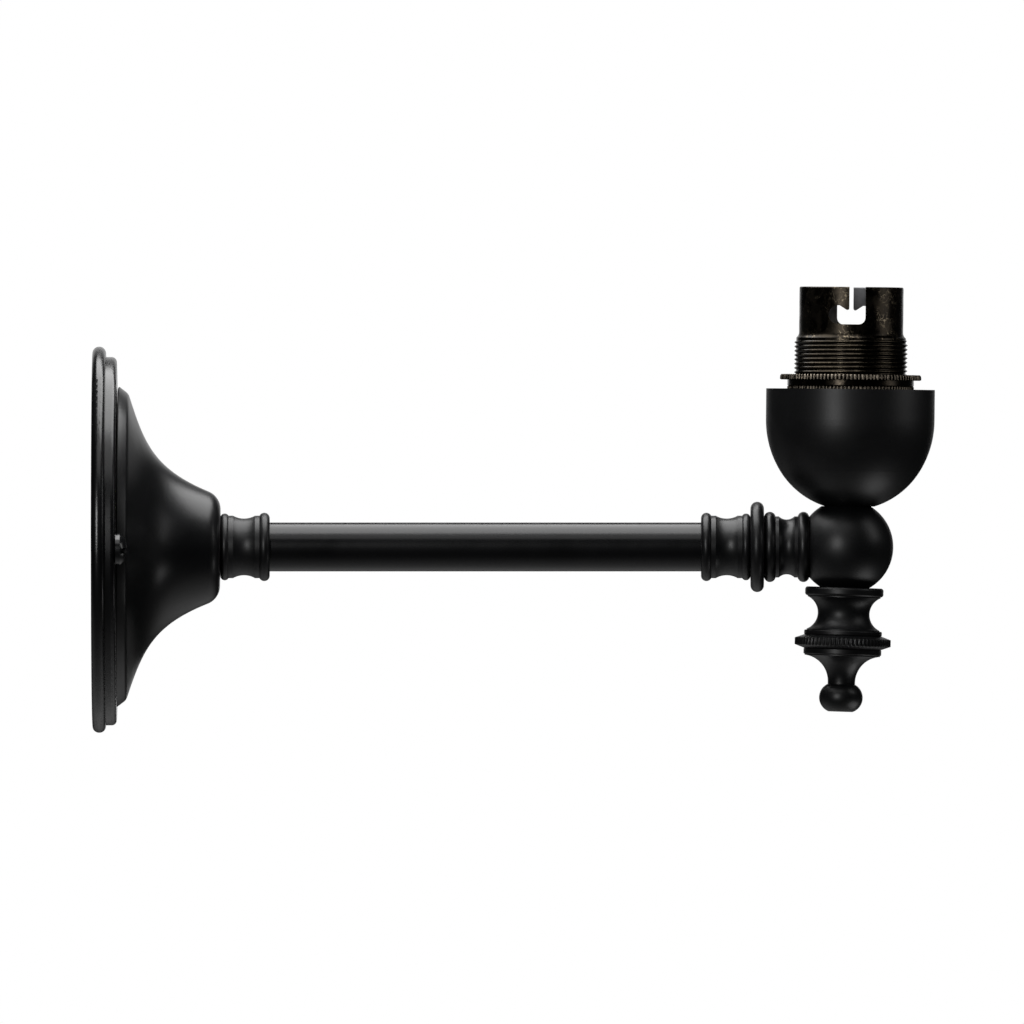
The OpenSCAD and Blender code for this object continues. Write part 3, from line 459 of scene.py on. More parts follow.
@dataclass(frozen=True)
class BronzedBrass(Finish):
    """Brass with a dark chemical bronze, rubbed through in hairlines where patches are worn."""

    name: str = "bronzed_brass"
    first: Colour = shade(0.013, 0.011, 0.009)
    second: Colour = shade(0.034, 0.028, 0.021)
    bare: Colour = shade(0.34, 0.28, 0.195)
    rubbed: float = 0.0
    wear: float = 0.8
    smooth: float = 0.23
    rough: float = 0.36
    clouds: Mottle = Mottle(260.0, 0.16)
    specks: Mottle = Mottle(1500.0, 0.2)
    patches: Mottle = Mottle(150.0, 0.05)
    scratch_scale: float = 520.0
    scratch_width: float = 0.07
    scratch_bend: float = 2.2
    relief: Relief = Relief(Effect.GRAIN, 0.000006, (("Scale", 2600.0), ("Coarse", 0.5)))
    metallic: float = 1.0

    def tones(self, tree: Tree, place: Socket, cloud: Socket) -> Socket:
        """Lays the bare brass of scratches and specks over the patina.

        Args:
            tree: The material's tree.
            place: Where on the object it is.
            cloud: The mask of the patina's patches.

        Returns:
            The colour.
        """
        speck = self.specks.mask(tree, place)
        lines = tree.effect(Effect.SCRATCHES, place, Scale=self.scratch_scale,
                            Width=self.scratch_width, Bend=self.scratch_bend)
        cover = tree.math("MULTIPLY", self.patches.mask(tree, place), speck)
        bare = tree.math("MULTIPLY", lines, tree.math("MULTIPLY", cover, self.wear), clamp=True)
        rub = tree.math("MAXIMUM", bare, tree.math("MULTIPLY", speck, self.rubbed))
        return tree.mix(rub, tree.mix(cloud, self.first, self.second), self.bare)


@dataclass(frozen=True)
class PlainMetal(Finish):
    """Bare turned or plated metal with fine tool marks, a little tarnished in patches."""

    name: str = "plain_brass"
    first: Colour = shade(0.72, 0.52, 0.24)
    second: Colour = shade(0.48, 0.33, 0.15)
    smooth: float = 0.3
    rough: float = 0.45
    clouds: Mottle = Mottle(180.0, 0.2)
    relief: Relief = Relief(Effect.SCRATCHES, -0.000004,
                            (("Scale", 900.0), ("Width", 0.05), ("Bend", 0.4)))
    metallic: float = 1.0


@dataclass(frozen=True)
class Moulding(Finish):
    """Moulded or extruded plastic, with a faint grain and slightly uneven colour."""

    name: str = "moulded_insert"
    first: Colour = shade(0.74, 0.71, 0.62)
    second: Colour = shade(0.60, 0.56, 0.47)
    smooth: float = 0.5
    rough: float = 0.5
    clouds: Mottle = Mottle(90.0, 0.25)
    relief: Relief = Relief(Effect.GRAIN, 0.000008, (("Scale", 1200.0), ("Coarse", 0.5)))


def insulation(colour: str, first: Colour, second: Colour) -> Moulding:
    """Returns the smoother plastic of a wire, by its colour's name and its two tones."""
    return Moulding(f"{colour}_insulation", first, second, smooth=0.38, rough=0.38)


class Finishes:
    """Builds every finish once and hands it out by its slot in the record."""

    KINDS: dict[str, Finish] = {
        "satin_black": SatinCoat(),
        "cast_black": SatinCoat(name="cast_black_coat", smooth=0.24, rough=0.29, index=1.62),
        "rose_black": SatinCoat(name="rose_black_coat", smooth=0.29, rough=0.34, index=1.54),
        "turned_black": SatinCoat(name="turned_black_coat", smooth=0.35, rough=0.41),
        "screw_black": SatinCoat(name="screw_black_coat", smooth=0.16, rough=0.2, index=1.75),
        "spun_black": SatinCoat(name="spun_black_coat", smooth=0.40, rough=0.46),
        "bronzed_brass": BronzedBrass(),
        "clean_bronze": BronzedBrass(name="clean_bronze", wear=0.12, smooth=0.19, rough=0.25),
        "rubbed_brass": BronzedBrass(
            "rubbed_brass", shade(0.028, 0.023, 0.017), shade(0.065, 0.053, 0.038),
            rubbed=0.14, wear=0.3, smooth=0.2, rough=0.3),
        "knurl_brass": BronzedBrass(
            "knurl_brass", shade(0.18, 0.155, 0.125), shade(0.28, 0.245, 0.20),
            rubbed=0.15, wear=0.0, smooth=0.42, rough=0.5),
        "worn_edge": BronzedBrass(
            "worn_edge", shade(0.24, 0.19, 0.12), shade(0.44, 0.35, 0.22),
            rubbed=0.6, smooth=0.4, rough=0.5),
        "dull_bore": BronzedBrass(
            "dull_bore", shade(0.085, 0.086, 0.09), shade(0.13, 0.13, 0.135),
            wear=0.0, smooth=0.4, rough=0.5),
        "plain_brass": PlainMetal(),
        "zinc_steel": PlainMetal("zinc_steel", shade(0.58, 0.59, 0.6), shade(0.42, 0.43, 0.44),
                                 smooth=0.34, rough=0.49),
        "moulded_insert": Moulding(),
        "nylon": Moulding("nylon", shade(0.78, 0.78, 0.74), shade(0.7, 0.69, 0.63)),
        "brown_insulation": insulation("brown", shade(0.13, 0.05, 0.02), shade(0.1, 0.04, 0.017)),
        "blue_insulation": insulation("blue", shade(0.02, 0.07, 0.28), shade(0.016, 0.055, 0.22)),
        "green_insulation": insulation("green", shade(0.04, 0.2, 0.04), shade(0.32, 0.3, 0.03)),
    }

    def __init__(self) -> None:
        """Builds all the materials."""
        self.materials = {slot: kind.build() for slot, kind in self.KINDS.items()}

    def __getitem__(self, slot: str) -> Material:
        """Returns the material of a slot."""
        return self.materials[slot]


# Mesh helpers


def arc(centre: Point2, radius: float, start: float, end: float, steps: int) -> list[Point2]:
    """Lists points of an arc, both ends included, with its angles in degrees from outward."""
    angles = [math.radians(start + (end - start) * i / steps) for i in range(steps + 1)]
    return [(centre[0] + radius * math.cos(a), centre[1] + radius * math.sin(a)) for a in angles]


def turns(count: int) -> list[float]:
    """Returns evenly spaced angles once round, in radians."""
    return [FULL_TURN * k / count for k in range(count)]


def link(name: str, data: bpy.types.ID) -> Piece:
    """Makes an object of mesh, light or camera data and puts it in the scene.

    Args:
        name: The object's name.
        data: What it shows.

    Returns:
        The new object, at the origin.
    """
    piece = bpy.data.objects.new(name, data)
    bpy.context.scene.collection.objects.link(piece)
    return piece


def note(piece: Piece) -> None:
    """Logs how many faces a piece has."""
    LOG.info("%s has %d faces", piece.name, len(piece.data.polygons))


def place_mesh(name: str, mesh: BMesh, place: Matrix) -> Piece:
    """Makes an object of a mesh that is drawn in millimetres in a sub-assembly's frame.

    Args:
        name: The piece's name.
        mesh: The drawn mesh; it is freed.
        place: The sub-assembly's frame, in metres.

    Returns:
        The new object, which sits at the origin.
    """
    bmesh.ops.recalc_face_normals(mesh, faces=mesh.faces)
    data = bpy.data.meshes.new(name)
    mesh.to_mesh(data)
    mesh.free()
    data.transform(place @ Matrix.Scale(MM, 4))
    return link(name, data)


def smooth_by_angle(piece: Piece, limit: float) -> None:
    """Smooths a piece but keeps the edges that are sharper than a limit.

    Args:
        piece: The piece to smooth.
        limit: The angle, in degrees.
    """
    mesh = piece.data
    mesh.shade_smooth()
    work = bmesh.new()
    work.from_mesh(mesh)
    for edge in work.edges:
        flat = edge.calc_face_angle(math.pi) < math.radians(limit)
        edge.smooth = flat and len(edge.link_faces) == 2
    work.to_mesh(mesh)
    work.free()


def revolve(mesh: BMesh, profile: Sequence[Point2], steps: int,
            reach: Callable[[float, float], float] | None = None,
            pick: Callable[[float, float], int] | None = None) -> None:
    """Draws a closed profile turned round the axis.

    Args:
        mesh: The mesh that takes the faces.
        profile: Radius and height of the profile's points, in order round it.
        steps: Facets round the axis.
        reach: Gives the radius at an angle for a point's own radius, for knurling.
        pick: Gives a face's material index from the lesser radius of its points and its angle.
    """
    rings = []
    for turn in turns(steps):
        ring = []
        for radius, height in profile:
            r = reach(radius, turn) if reach else radius
            ring.append(mesh.verts.new((r * math.cos(turn), r * math.sin(turn), height)))
        rings.append(ring)
    count = len(profile)
    for step in range(steps):
        this, other = rings[step], rings[(step + 1) % steps]
        for k in range(count):
            n = (k + 1) % count
            face = mesh.faces.new((this[k], other[k], other[n], this[n]))
            if pick:
                face.material_index = pick(min(profile[k][0], profile[n][0]),
                                           FULL_TURN * (step + 0.5) / steps)


def loft(mesh: BMesh, rings: Sequence[Sequence[bmesh.types.BMVert]]) -> None:
    """Closes a row of rings into one solid, with a cap on the first and the last.

    Args:
        mesh: The mesh that takes the faces.
        rings: The rings, each with the same count of vertices.
    """
    mesh.faces.new(rings[0])
    mesh.faces.new(rings[-1])
    for this, other in zip(rings, rings[1:]):
        for k in range(len(this)):
            n = (k + 1) % len(this)
            mesh.faces.new((this[k], this[n], other[n], other[k]))


def cut_away(piece: Piece, cutter: Piece) -> None:
    """Cuts a solid out of a piece, and leaves the piece without materials.

    Args:
        piece: The piece to cut.
        cutter: The solid to cut with; it is removed.
    """
    cut = piece.modifiers.new("cut", "BOOLEAN")
    cut.operation = "DIFFERENCE"
    cut.solver = "EXACT"
    cut.object = cutter
    depsgraph = bpy.context.evaluated_depsgraph_get()
    data = bpy.data.meshes.new_from_object(piece.evaluated_get(depsgraph))
    piece.modifiers.clear()
    piece.data = data
    bpy.data.objects.remove(cutter)
    piece.data.materials.clear()


# Rose


@dataclass
class Rose:
    """The bell-shaped rose: bevelled foot, one flowing flare and a rounded end.

    Sizes are in millimetres: radius from the arm's axis, and height from the plate's front.
    """

    layout: Layout
    finishes: Finishes
    base_x: float = 6.3
    lean: float = 0.45
    length: float = 26.8
    foot_r: float = 41.45
    foot_edge: tuple[Point2, ...] = ((0.5, 0.0), (0.1, 0.15), (0.0, 0.4))
    bevel_r: float = 40.0
    bevel_h: float = 2.3
    flare_start: Point2 = (38.8, 3.02)
    flare_angle: float = 18.1
    flare_pull: float = 12.83
    corner_pull: float = 0.8
    throat_angle: float = 67.8
    throat_pull: float = 15.2
    shoulder_r: float = 5.0
    shoulder_axis_r: float = 9.9
    wall: float = 2.2
    end_wall: float = 3.0
    hole_r: float = 6.5
    head_reach: float = 44.4
    head_hole_r: float = 4.45
    head_low: float = -2.0
    lug_turns: Point3 = (90, 210, 330)
    lug_reach: float = 28.0
    lug_r: float = 4.0
    lug_bore_r: float = 1.75
    lug_h: float = 4.7
    steps: int = 256
    curve_steps: int = 48
    shoulder_steps: int = 12
    corner_steps: int = 6
    lug_steps: int = 48
    head_steps: int = 96
    crease: float = 28.0

    def flare(self) -> list[Point2]:
        """Lists points of the flare, from the foot to the shoulder.

        Returns:
            Radius and height of each point.
        """
        rise, climb = math.radians(self.flare_angle), math.radians(self.throat_angle)
        start = Vector(self.flare_start)
        end = Vector((self.shoulder_axis_r + self.shoulder_r * math.sin(climb),
                      self.length - self.shoulder_r + self.shoulder_r * math.cos(climb)))
        first = start + self.flare_pull * Vector((-math.cos(rise), math.sin(rise)))
        last = end + self.throat_pull * Vector((math.cos(climb), -math.sin(climb)))
        points = []
        for i in range(self.curve_steps + 1):
            t = i / self.curve_steps
            spot = ((1 - t) ** 3 * start + 3 * (1 - t) ** 2 * t * first
                    + 3 * (1 - t) * t ** 2 * last + t ** 3 * end)
            points.append((spot.x, spot.y))
        return points

    def corner(self) -> list[Point2]:
        """Lists points of the rounded corner between the foot's bevel and the flare.

        Returns:
            Radius and height of each point, without the flare's first.
        """
        rise = math.radians(self.flare_angle)
        start, end = Vector((self.bevel_r, self.bevel_h)), Vector(self.flare_start)
        meet = end + self.corner_pull * Vector((math.cos(rise), -math.sin(rise)))
        spots = [(1 - t) ** 2 * start + 2 * (1 - t) * t * meet + t * t * end
                 for t in (k / self.corner_steps for k in range(self.corner_steps))]
        return [(spot.x, spot.y) for spot in spots]

    def body(self) -> BMesh:
        """Draws the rose with its hole for the arm and the three lugs inside it.

        Returns:
            The mesh, with its height along Z.
        """
        flare = self.flare()
        inside = []
        for (r0, z0), (r1, z1) in zip(flare, flare[1:]):
            along = Vector((r1 - r0, z1 - z0)).normalized()
            inside.append((r0 - self.wall * along.y, z0 + self.wall * along.x))
        ceiling = self.length - self.end_wall
        inside = [(inside[0][0], 0.0), *(spot for spot in inside if spot[1] < ceiling)]
        shoulder = arc((self.shoulder_axis_r, self.length - self.shoulder_r), self.shoulder_r,
                       90 - self.throat_angle, 90, self.shoulder_steps)
        outline = [*((self.foot_r - back, up) for back, up in self.foot_edge),
                   *self.corner(), *flare, *shoulder[1:],
                   (self.hole_r, self.length), (self.hole_r, ceiling), (inside[-1][0], ceiling),
                   *reversed(inside)]
        mesh = bmesh.new()
        revolve(mesh, outline, self.steps)
        lug = [(self.lug_bore_r, 0.0), (self.lug_r, 0.0), (self.lug_r, self.lug_h),
               (self.lug_bore_r, self.lug_h)]
        for turn in self.lug_turns:
            before = set(mesh.verts)
            revolve(mesh, lug, self.lug_steps)
            way = math.radians(turn)
            shift = Vector((-math.sin(way), math.cos(way), 0)) * self.lug_reach
            bmesh.ops.translate(mesh, vec=shift, verts=[v for v in mesh.verts if v not in before])
        return mesh

    def head_cutter(self) -> Piece:
        """Draws the room for the two fixing screws' heads as one solid to cut with.

        Returns:
            The cutter.
        """
        mesh = bmesh.new()
        for way in (1, -1):
            loft(mesh, [[mesh.verts.new((self.head_hole_r * math.cos(turn),
                                         way * self.head_reach + self.head_hole_r * math.sin(turn),
                                         height)) for turn in turns(self.head_steps)]
                        for height in (self.head_low, self.length)])
        return place_mesh("head_cutter", mesh, self.layout.plate() @ self.along(0.0))

    def along(self, lean: float) -> Matrix:
        """Returns the frame with Z along the arm from the plate's front, leaning by degrees."""
        return Matrix.Translation(Vector((self.base_x, 0, 0)) * MM) @ Matrix.Rotation(
            math.radians(90 + lean), 4, "Y")

    def build(self) -> None:
        """Makes the rose and puts it in the place of its plain node."""
        piece = place_mesh("rose_dressed", self.body(), self.along(self.lean))
        cut_away(piece, self.head_cutter())
        piece.data.materials.append(self.finishes["rose_black"])
        smooth_by_angle(piece, self.crease)
        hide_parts("rose")
        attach(piece, "bracket")
        note(piece)


# Lampholder


@dataclass
class Barrel:
    """The lampholder's barrel: smooth mouth with two bayonet slots over a threaded stretch.

    All sizes are in millimetres, measured up the head's axis from the ball's centre.
    """

    place: Matrix
    bottom: float = 32.0
    mouth: float = 67.3
    lip_r: float = 0.35
    bore_break: float = 0.2
    thread_low: float = 32.95
    thread_top: float = 53.8
    outer_r: float = 13.48
    bore_r: float = 12.2
    relief_r: float = 12.5
    guide_low: float = 57.2
    crest_r: float = 14.66
    root_r: float = 14.2
    root_round: float = 0.03
    crest_round: float = 0.05
    pitch: float = 1.107
    runout: float = 0.3
    fade_turns: float = 0.2
    sunk: float = 0.04
    ridge_shares: tuple[float, ...] = (0.0, 0.17, 0.38, 0.5, 0.62, 0.83)
    crest_strips: tuple[int, int] = (2, 3)
    neck_fillet: float = 1.7
    slot_offset: float = 1.48
    slot_w: float = 4.2
    slot_over: float = 3.0
    slot_depths: Point2 = (6.0, 22.0)
    pocket_low: float = 57.6
    pocket_h: float = 4.9
    pocket_reach: float = 7.4
    corner_r: float = 1.8
    tongue_drop: float = 1.2
    tongue_slope: float = 2.0
    tongue_tip: float = 0.5
    tongue_r: float = 0.55
    tongue_turn: Point2 = (-122.0, -35.0)
    tongue_rise: float = 0.8
    worn_bevel: float = 0.16
    sharp_angle: float = 40.0
    outer_margin: float = 0.06
    pocket_margin: float = 0.3
    bore_margin: float = 0.05
    steps: int = 192
    neck_steps: int = 8
    lip_steps: int = 4
    corner_steps: int = 8
    pocket_steps: int = 20
    tongue_steps: int = 5
    crease: float = 32.0
    thread_crease: float = 60.0

    def body(self) -> BMesh:
        """Draws the barrel without slots, with its thread cut down to the root.

        Returns:
            The mesh.
        """
        centre = (self.outer_r + self.neck_fillet, self.thread_top + self.neck_fillet)
        edge = math.degrees(math.acos((self.root_r - centre[0]) / self.neck_fillet))
        profile = [
            (self.relief_r, self.bottom), (self.root_r, self.bottom),
            *arc(centre, self.neck_fillet, 360 - edge, 180, self.neck_steps),
            *arc((self.outer_r - self.lip_r, self.mouth - self.lip_r), self.lip_r, 0, 90,
                 self.lip_steps),
            (self.bore_r + self.bore_break, self.mouth),
            (self.bore_r, self.mouth - self.bore_break),
            (self.bore_r, self.guide_low), (self.relief_r, self.guide_low - self.bore_break),
        ]
        mesh = bmesh.new()
        revolve(mesh, profile, self.steps)
        return mesh

    def slot_outline(self) -> list[Point2]:
        """Lists the bayonet slot's outline as seen from the front, across and up.

        Returns:
            The outline's points, in order round it.
        """
        left = self.slot_offset - self.slot_w / 2
        right = self.slot_offset + self.slot_w / 2
        low, top = self.pocket_low, self.pocket_low + self.pocket_h
        end_r = self.pocket_h / 2
        end_x = self.slot_offset - self.pocket_reach + end_r
        tip = top - self.tongue_drop
        tongue = (left - self.tongue_tip, tip + self.tongue_r)
        return [
            (right, self.mouth + self.slot_over), (right, low + self.corner_r),
            *arc((right - self.corner_r, low + self.corner_r), self.corner_r, 0, -90,
                 self.corner_steps)[1:],
            (end_x, low),
            *arc((end_x, low + end_r), end_r, -90, -270, self.pocket_steps)[1:],
            (left - self.tongue_tip - self.tongue_slope, top),
            *arc(tongue, self.tongue_r, *self.tongue_turn, self.tongue_steps),
            (left, tip + self.tongue_rise),
            (left, self.mouth + self.slot_over),
        ]

    def slot_cutter(self) -> Piece:
        """Draws the two slots as one solid to cut with.

        Returns:
            The cutter.
        """
        mesh = bmesh.new()
        for way in (1, -1):
            loft(mesh, [[mesh.verts.new((way * x, -way * depth, z)) for x, z in self.slot_outline()]
                        for depth in self.slot_depths])
        return place_mesh("slot_cutter", mesh, self.place)

    def thread(self) -> BMesh:
        """Draws the thread's ridge, one strip wound up the barrel.

        Returns:
            The mesh.
        """
        foot, brow = self.root_r + self.root_round, self.crest_r - self.crest_round
        radii = (self.root_r, foot, brow, self.crest_r, brow, foot)
        low, high = self.thread_low, self.thread_top + self.runout
        count = int(((high - low) / self.pitch - 1) * self.steps)
        mesh = bmesh.new()
        rows = []
        for i in range(count + 1):
            turn = FULL_TURN * i / self.steps
            base = low + self.pitch * i / self.steps
            fade = min(1.0, (count - i) / (self.fade_turns * self.steps))
            row = []
            for part, radius in zip(self.ridge_shares, radii):
                r = self.root_r - self.sunk + (radius - self.root_r + self.sunk) * fade
                row.append(mesh.verts.new(
                    (r * math.cos(turn), r * math.sin(turn), base + part * self.pitch)))
            rows.append(row)
        last = len(radii) - 1
        for i in range(count):
            this, other = rows[i], rows[i + 1]
            for k in range(last):
                face = mesh.faces.new((this[k], other[k], other[k + 1], this[k + 1]))
                face.material_index = int(k in self.crest_strips)
            if i + 1 + self.steps <= count:
                mesh.faces.new((this[last], other[last],
                                rows[i + 1 + self.steps][0], rows[i + self.steps][0]))
        return mesh

    def build(self, finishes: Finishes) -> list[Piece]:
        """Makes the barrel and its thread.

        Args:
            finishes: The materials.

        Returns:
            The pieces that stand for the plain barrel.
        """
        body = place_mesh("barrel_body", self.body(), self.place)
        cut_away(body, self.slot_cutter())
        for slot in ("bronzed_brass", "worn_edge", "dull_bore"):
            body.data.materials.append(finishes[slot])
        self.rub_slot_edges(body)
        smooth_by_angle(body, self.crease)
        thread = place_mesh("barrel_thread", self.thread(), self.place)
        for slot in ("clean_bronze", "rubbed_brass"):
            thread.data.materials.append(finishes[slot])
        smooth_by_angle(thread, self.thread_crease)
        return [body, thread]

    def rub_slot_edges(self, body: Piece) -> None:
        """Breaks the slots' sharp outer edges with a small bare bevel, and dulls the bore.

        Args:
            body: The slotted barrel.
        """
        inverse = (self.place @ Matrix.Scale(MM, 4)).inverted()
        work = bmesh.new()
        work.from_mesh(body.data)
        sharp = math.radians(self.sharp_angle)
        edges = []
        for edge in work.edges:
            if len(edge.link_faces) != 2 or edge.calc_face_angle(0) < sharp:
                continue
            ends = [inverse @ vert.co for vert in edge.verts]
            outside = min(math.hypot(end.x, end.y) for end in ends)
            low = min(end.z for end in ends)
            if (outside > self.outer_r - self.outer_margin
                    and low > self.pocket_low - self.pocket_margin):
                edges.append(edge)
        result = bmesh.ops.bevel(work, geom=edges, offset=self.worn_bevel * MM, segments=1,
                                 profile=0.5, affect="EDGES", clamp_overlap=True)
        for face in work.faces:
            radii = [math.hypot(*(inverse @ vert.co).xy) for vert in face.verts]
            face.material_index = 2 if max(radii) < self.relief_r + self.bore_margin else 0
        for face in result["faces"]:
            face.material_index = 1
        work.to_mesh(body.data)
        work.free()


@dataclass
class KnurledRing:
    """A ring whose edge has straight rounded teeth.

    Sizes are in millimetres in the ring's own frame.
    """

    name: str
    place: Matrix
    profile: list[Point2]
    crest_r: float
    root_r: float
    teeth: int
    tooth_steps: int = 6
    sharp: float = 1.0
    crease: float = 50.0

    def reach(self, radius: float, turn: float) -> float:
        """Gives the radius at an angle: points near the crest follow the teeth.

        Args:
            radius: The profile point's radius.
            turn: The angle round the axis.

        Returns:
            The radius there.
        """
        if radius <= self.root_r:
            return radius
        wave = 0.5 + 0.5 * math.cos(self.teeth * turn)
        share = min(1.0, (radius - self.root_r) / (self.crest_r - self.root_r))
        return self.root_r + (self.crest_r - self.root_r) * share * wave ** self.sharp

    def crest(self, radius: float, turn: float) -> int:
        """Returns 1 for a face on a tooth's crest, by its lesser radius and angle, and else 0."""
        return int(radius >= self.root_r and math.cos(self.teeth * turn) > 0)

    def build(self, material: Material, worn: Material) -> Piece:
        """Makes the ring.

        Args:
            material: Its finish.
            worn: The finish of the teeth's crests.

        Returns:
            The piece.
        """
        mesh = bmesh.new()
        revolve(mesh, self.profile, self.teeth * self.tooth_steps, self.reach, self.crest)
        piece = place_mesh(self.name, mesh, self.place)
        piece.data.materials.append(material)
        piece.data.materials.append(worn)
        smooth_by_angle(piece, self.crease)
        return piece


@dataclass
class Lampholder:
    """The bayonet lampholder that stands in the cup."""

    layout: Layout
    finishes: Finishes
    thread_r: float = 14.69
    flange_r: float = 18.3
    flange_edge: tuple[Point2, Point2] = ((0.0, 0.6), (0.06, -0.35))
    flange_break: float = 0.15
    ring_r: float = 16.4
    lock_low: float = 38.4
    lock_break: float = 0.2
    collar_low: float = 41.7
    collar_break: float = 0.1
    collar_hold: float = 0.18
    flange_low: float = 43.2
    flange_top: float = 44.62
    knurl_depth: float = 0.35
    shade_teeth: int = 112
    lock_teeth: int = 102
    tooth_shape: float = 0.7

    def rings(self) -> list[tuple[KnurledRing, str]]:
        """Lists the two rings on the barrel's thread with the nodes that they stand for.

        Returns:
            Each ring and its node.
        """
        root, lock_root = self.flange_r - self.knurl_depth, self.ring_r - self.knurl_depth
        (low_back, low_up), (top_back, top_up) = self.flange_edge
        shade_profile = [
            (self.thread_r, self.collar_low), (self.ring_r - self.collar_break, self.collar_low),
            (self.ring_r, self.collar_low + self.collar_break),
            (self.ring_r, self.collar_low + self.collar_hold), (self.ring_r, self.flange_low),
            (root, self.flange_low), (self.flange_r, self.flange_low + self.flange_break),
            (self.flange_r - low_back, self.flange_low + low_up),
            (self.flange_r - top_back, self.flange_top + top_up),
            (root, self.flange_top), (self.thread_r, self.flange_top),
        ]
        lock_profile = [
            (self.thread_r, self.lock_low), (lock_root, self.lock_low),
            (self.ring_r, self.lock_low + self.lock_break),
            (self.ring_r, self.collar_low - self.lock_break),
            (lock_root, self.collar_low), (self.thread_r, self.collar_low),
        ]
        place = self.layout.head()
        return [
            (KnurledRing("shade_ring_dressed", place, shade_profile, self.flange_r, root,
                         self.shade_teeth, sharp=self.tooth_shape), "shade_ring"),
            (KnurledRing("lock_ring_dressed", place, lock_profile, self.ring_r, lock_root,
                         self.lock_teeth, sharp=self.tooth_shape), "lock_ring"),
        ]

    def build(self) -> None:
        """Makes the barrel and rings and puts them in the place of their plain nodes."""
        for piece in Barrel(self.layout.head()).build(self.finishes):
            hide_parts("holder_barrel")
            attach(piece, "bracket")
            note(piece)
        for ring, node in self.rings():
            piece = ring.build(self.finishes["clean_bronze"], self.finishes["knurl_brass"])
            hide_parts(node)
            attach(piece, "bracket")
            note(piece)


@dataclass
class ContactSpring:
    """The coil spring under one contact, which flattens as the contact is pushed in.

    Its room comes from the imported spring. Its own sizes are in millimetres.
    """

    side: str
    layout: Layout
    finishes: Finishes
    turns: int = 6
    wire_r: float = 0.28
    clearance: float = 0.03
    travel: float = 3.5
    turn_steps: int = 24
    wire_sides: int = 8
    crease: float = 60.0

    def room(self) -> tuple[Vector, Vector]:
        """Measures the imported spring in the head's frame.

        Returns:
            The lowest and highest corner of its box.
        """
        back = (self.layout.head() @ Matrix.Scale(MM, 4)).inverted()
        spots = [back @ vert.co for vert in frame["nodes"][f"spring_{self.side}"].data.vertices]
        return tuple(Vector([end(spot[k] for spot in spots) for k in range(3)])
                     for end in (min, max))

    def coil(self, low: Vector, high: Vector) -> BMesh:
        """Draws the wound wire.

        Args:
            low: The lowest corner of the spring's room.
            high: The highest corner.

        Returns:
            The mesh.
        """
        centre = (low + high) / 2
        coil_r = (high.x - low.x) / 2 - self.wire_r
        base, top = low.z + self.wire_r, high.z - self.wire_r - self.clearance
        count = self.turns * self.turn_steps
        slope = (top - base) / (FULL_TURN * coil_r * self.turns)
        mesh = bmesh.new()
        rings = []
        for i in range(count + 1):
            turn = FULL_TURN * i / self.turn_steps
            outward = Vector((math.cos(turn), math.sin(turn), 0))
            up = Vector((-math.sin(turn), math.cos(turn), slope)).normalized().cross(outward)
            spot = Vector((centre.x, centre.y, base + (top - base) * i / count)) + coil_r * outward
            rings.append([
                mesh.verts.new(spot + self.wire_r * (math.cos(a) * outward + math.sin(a) * up))
                for a in turns(self.wire_sides)])
        loft(mesh, rings)
        return mesh

    def build(self) -> None:
        """Makes the spring, puts it in the place of its plain node and gives it a mesh of its own.
        """
        low, high = self.room()
        place = self.layout.head()
        piece = place_mesh(f"spring_{self.side}_dressed", self.coil(low, high), place)
        piece.data.materials.append(self.finishes["zinc_steel"])
        smooth_by_angle(piece, self.crease)
        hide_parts(f"spring_{self.side}")
        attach(piece, "bracket")
        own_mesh(piece)
        note(piece)


# Finial ring and plain solids


@dataclass
class FinialRing:
    """The ring with a straight knurled edge between spool and finial."""

    layout: Layout
    finishes: Finishes
    low: float = 22.95
    height: float = 3.45
    edge_r: float = 10.08
    crest_r: float = 12.44
    bore_r: float = 3.15
    band: float = 2.0
    band_break: float = 0.14
    teeth: int = 68
    tooth_steps: int = 8
    knurl_depth: float = 0.35

    def build(self) -> None:
        """Makes the ring and puts it in the place of its plain node."""
        bevel = (self.height - self.band) / 2
        root = self.crest_r - self.knurl_depth
        high = self.low + self.height
        profile = [
            (self.bore_r, self.low), (self.edge_r, self.low), (root, self.low + bevel),
            (self.crest_r, self.low + bevel + self.band_break),
            (self.crest_r, high - bevel - self.band_break),
            (root, high - bevel), (self.edge_r, high), (self.bore_r, high),
        ]
        ring = KnurledRing("knurled_ring_dressed", self.layout.foot(), profile, self.crest_r, root,
                           self.teeth, self.tooth_steps)
        piece = ring.build(self.finishes["turned_black"], self.finishes["turned_black"])
        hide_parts("knurled_ring")
        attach(piece, "bracket")
        note(piece)


@dataclass
class Solids:
    """The solids that keep their own shape and get a finish."""

    finishes: Finishes
    softer: dict[str, str] = field(default_factory=lambda: {
        "cup": "spun_black", "ball_fitting": "spun_black", "spool": "spun_black",
        "finial": "spun_black", "wall_plate": "cast_black", "fixing_screws": "screw_black",
        "base_collar": "turned_black", "outer_collar": "turned_black",
        "ball_collar": "turned_black", "disc_ring": "turned_black"})

    def build(self) -> None:
        """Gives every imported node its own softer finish, or that of its slot in the record."""
        slots = {entry["node"]: entry["material_slot"] for entry in frame["record"]["subparts"]}
        for node, piece in frame["nodes"].items():
            material = self.finishes[self.softer.get(node, slots[node])]
            if not piece.material_slots:
                piece.data.materials.append(material)
            for slot in piece.material_slots:
                slot.material = material
            LOG.info("%s is finished in %s", node, material.name)


# Studio


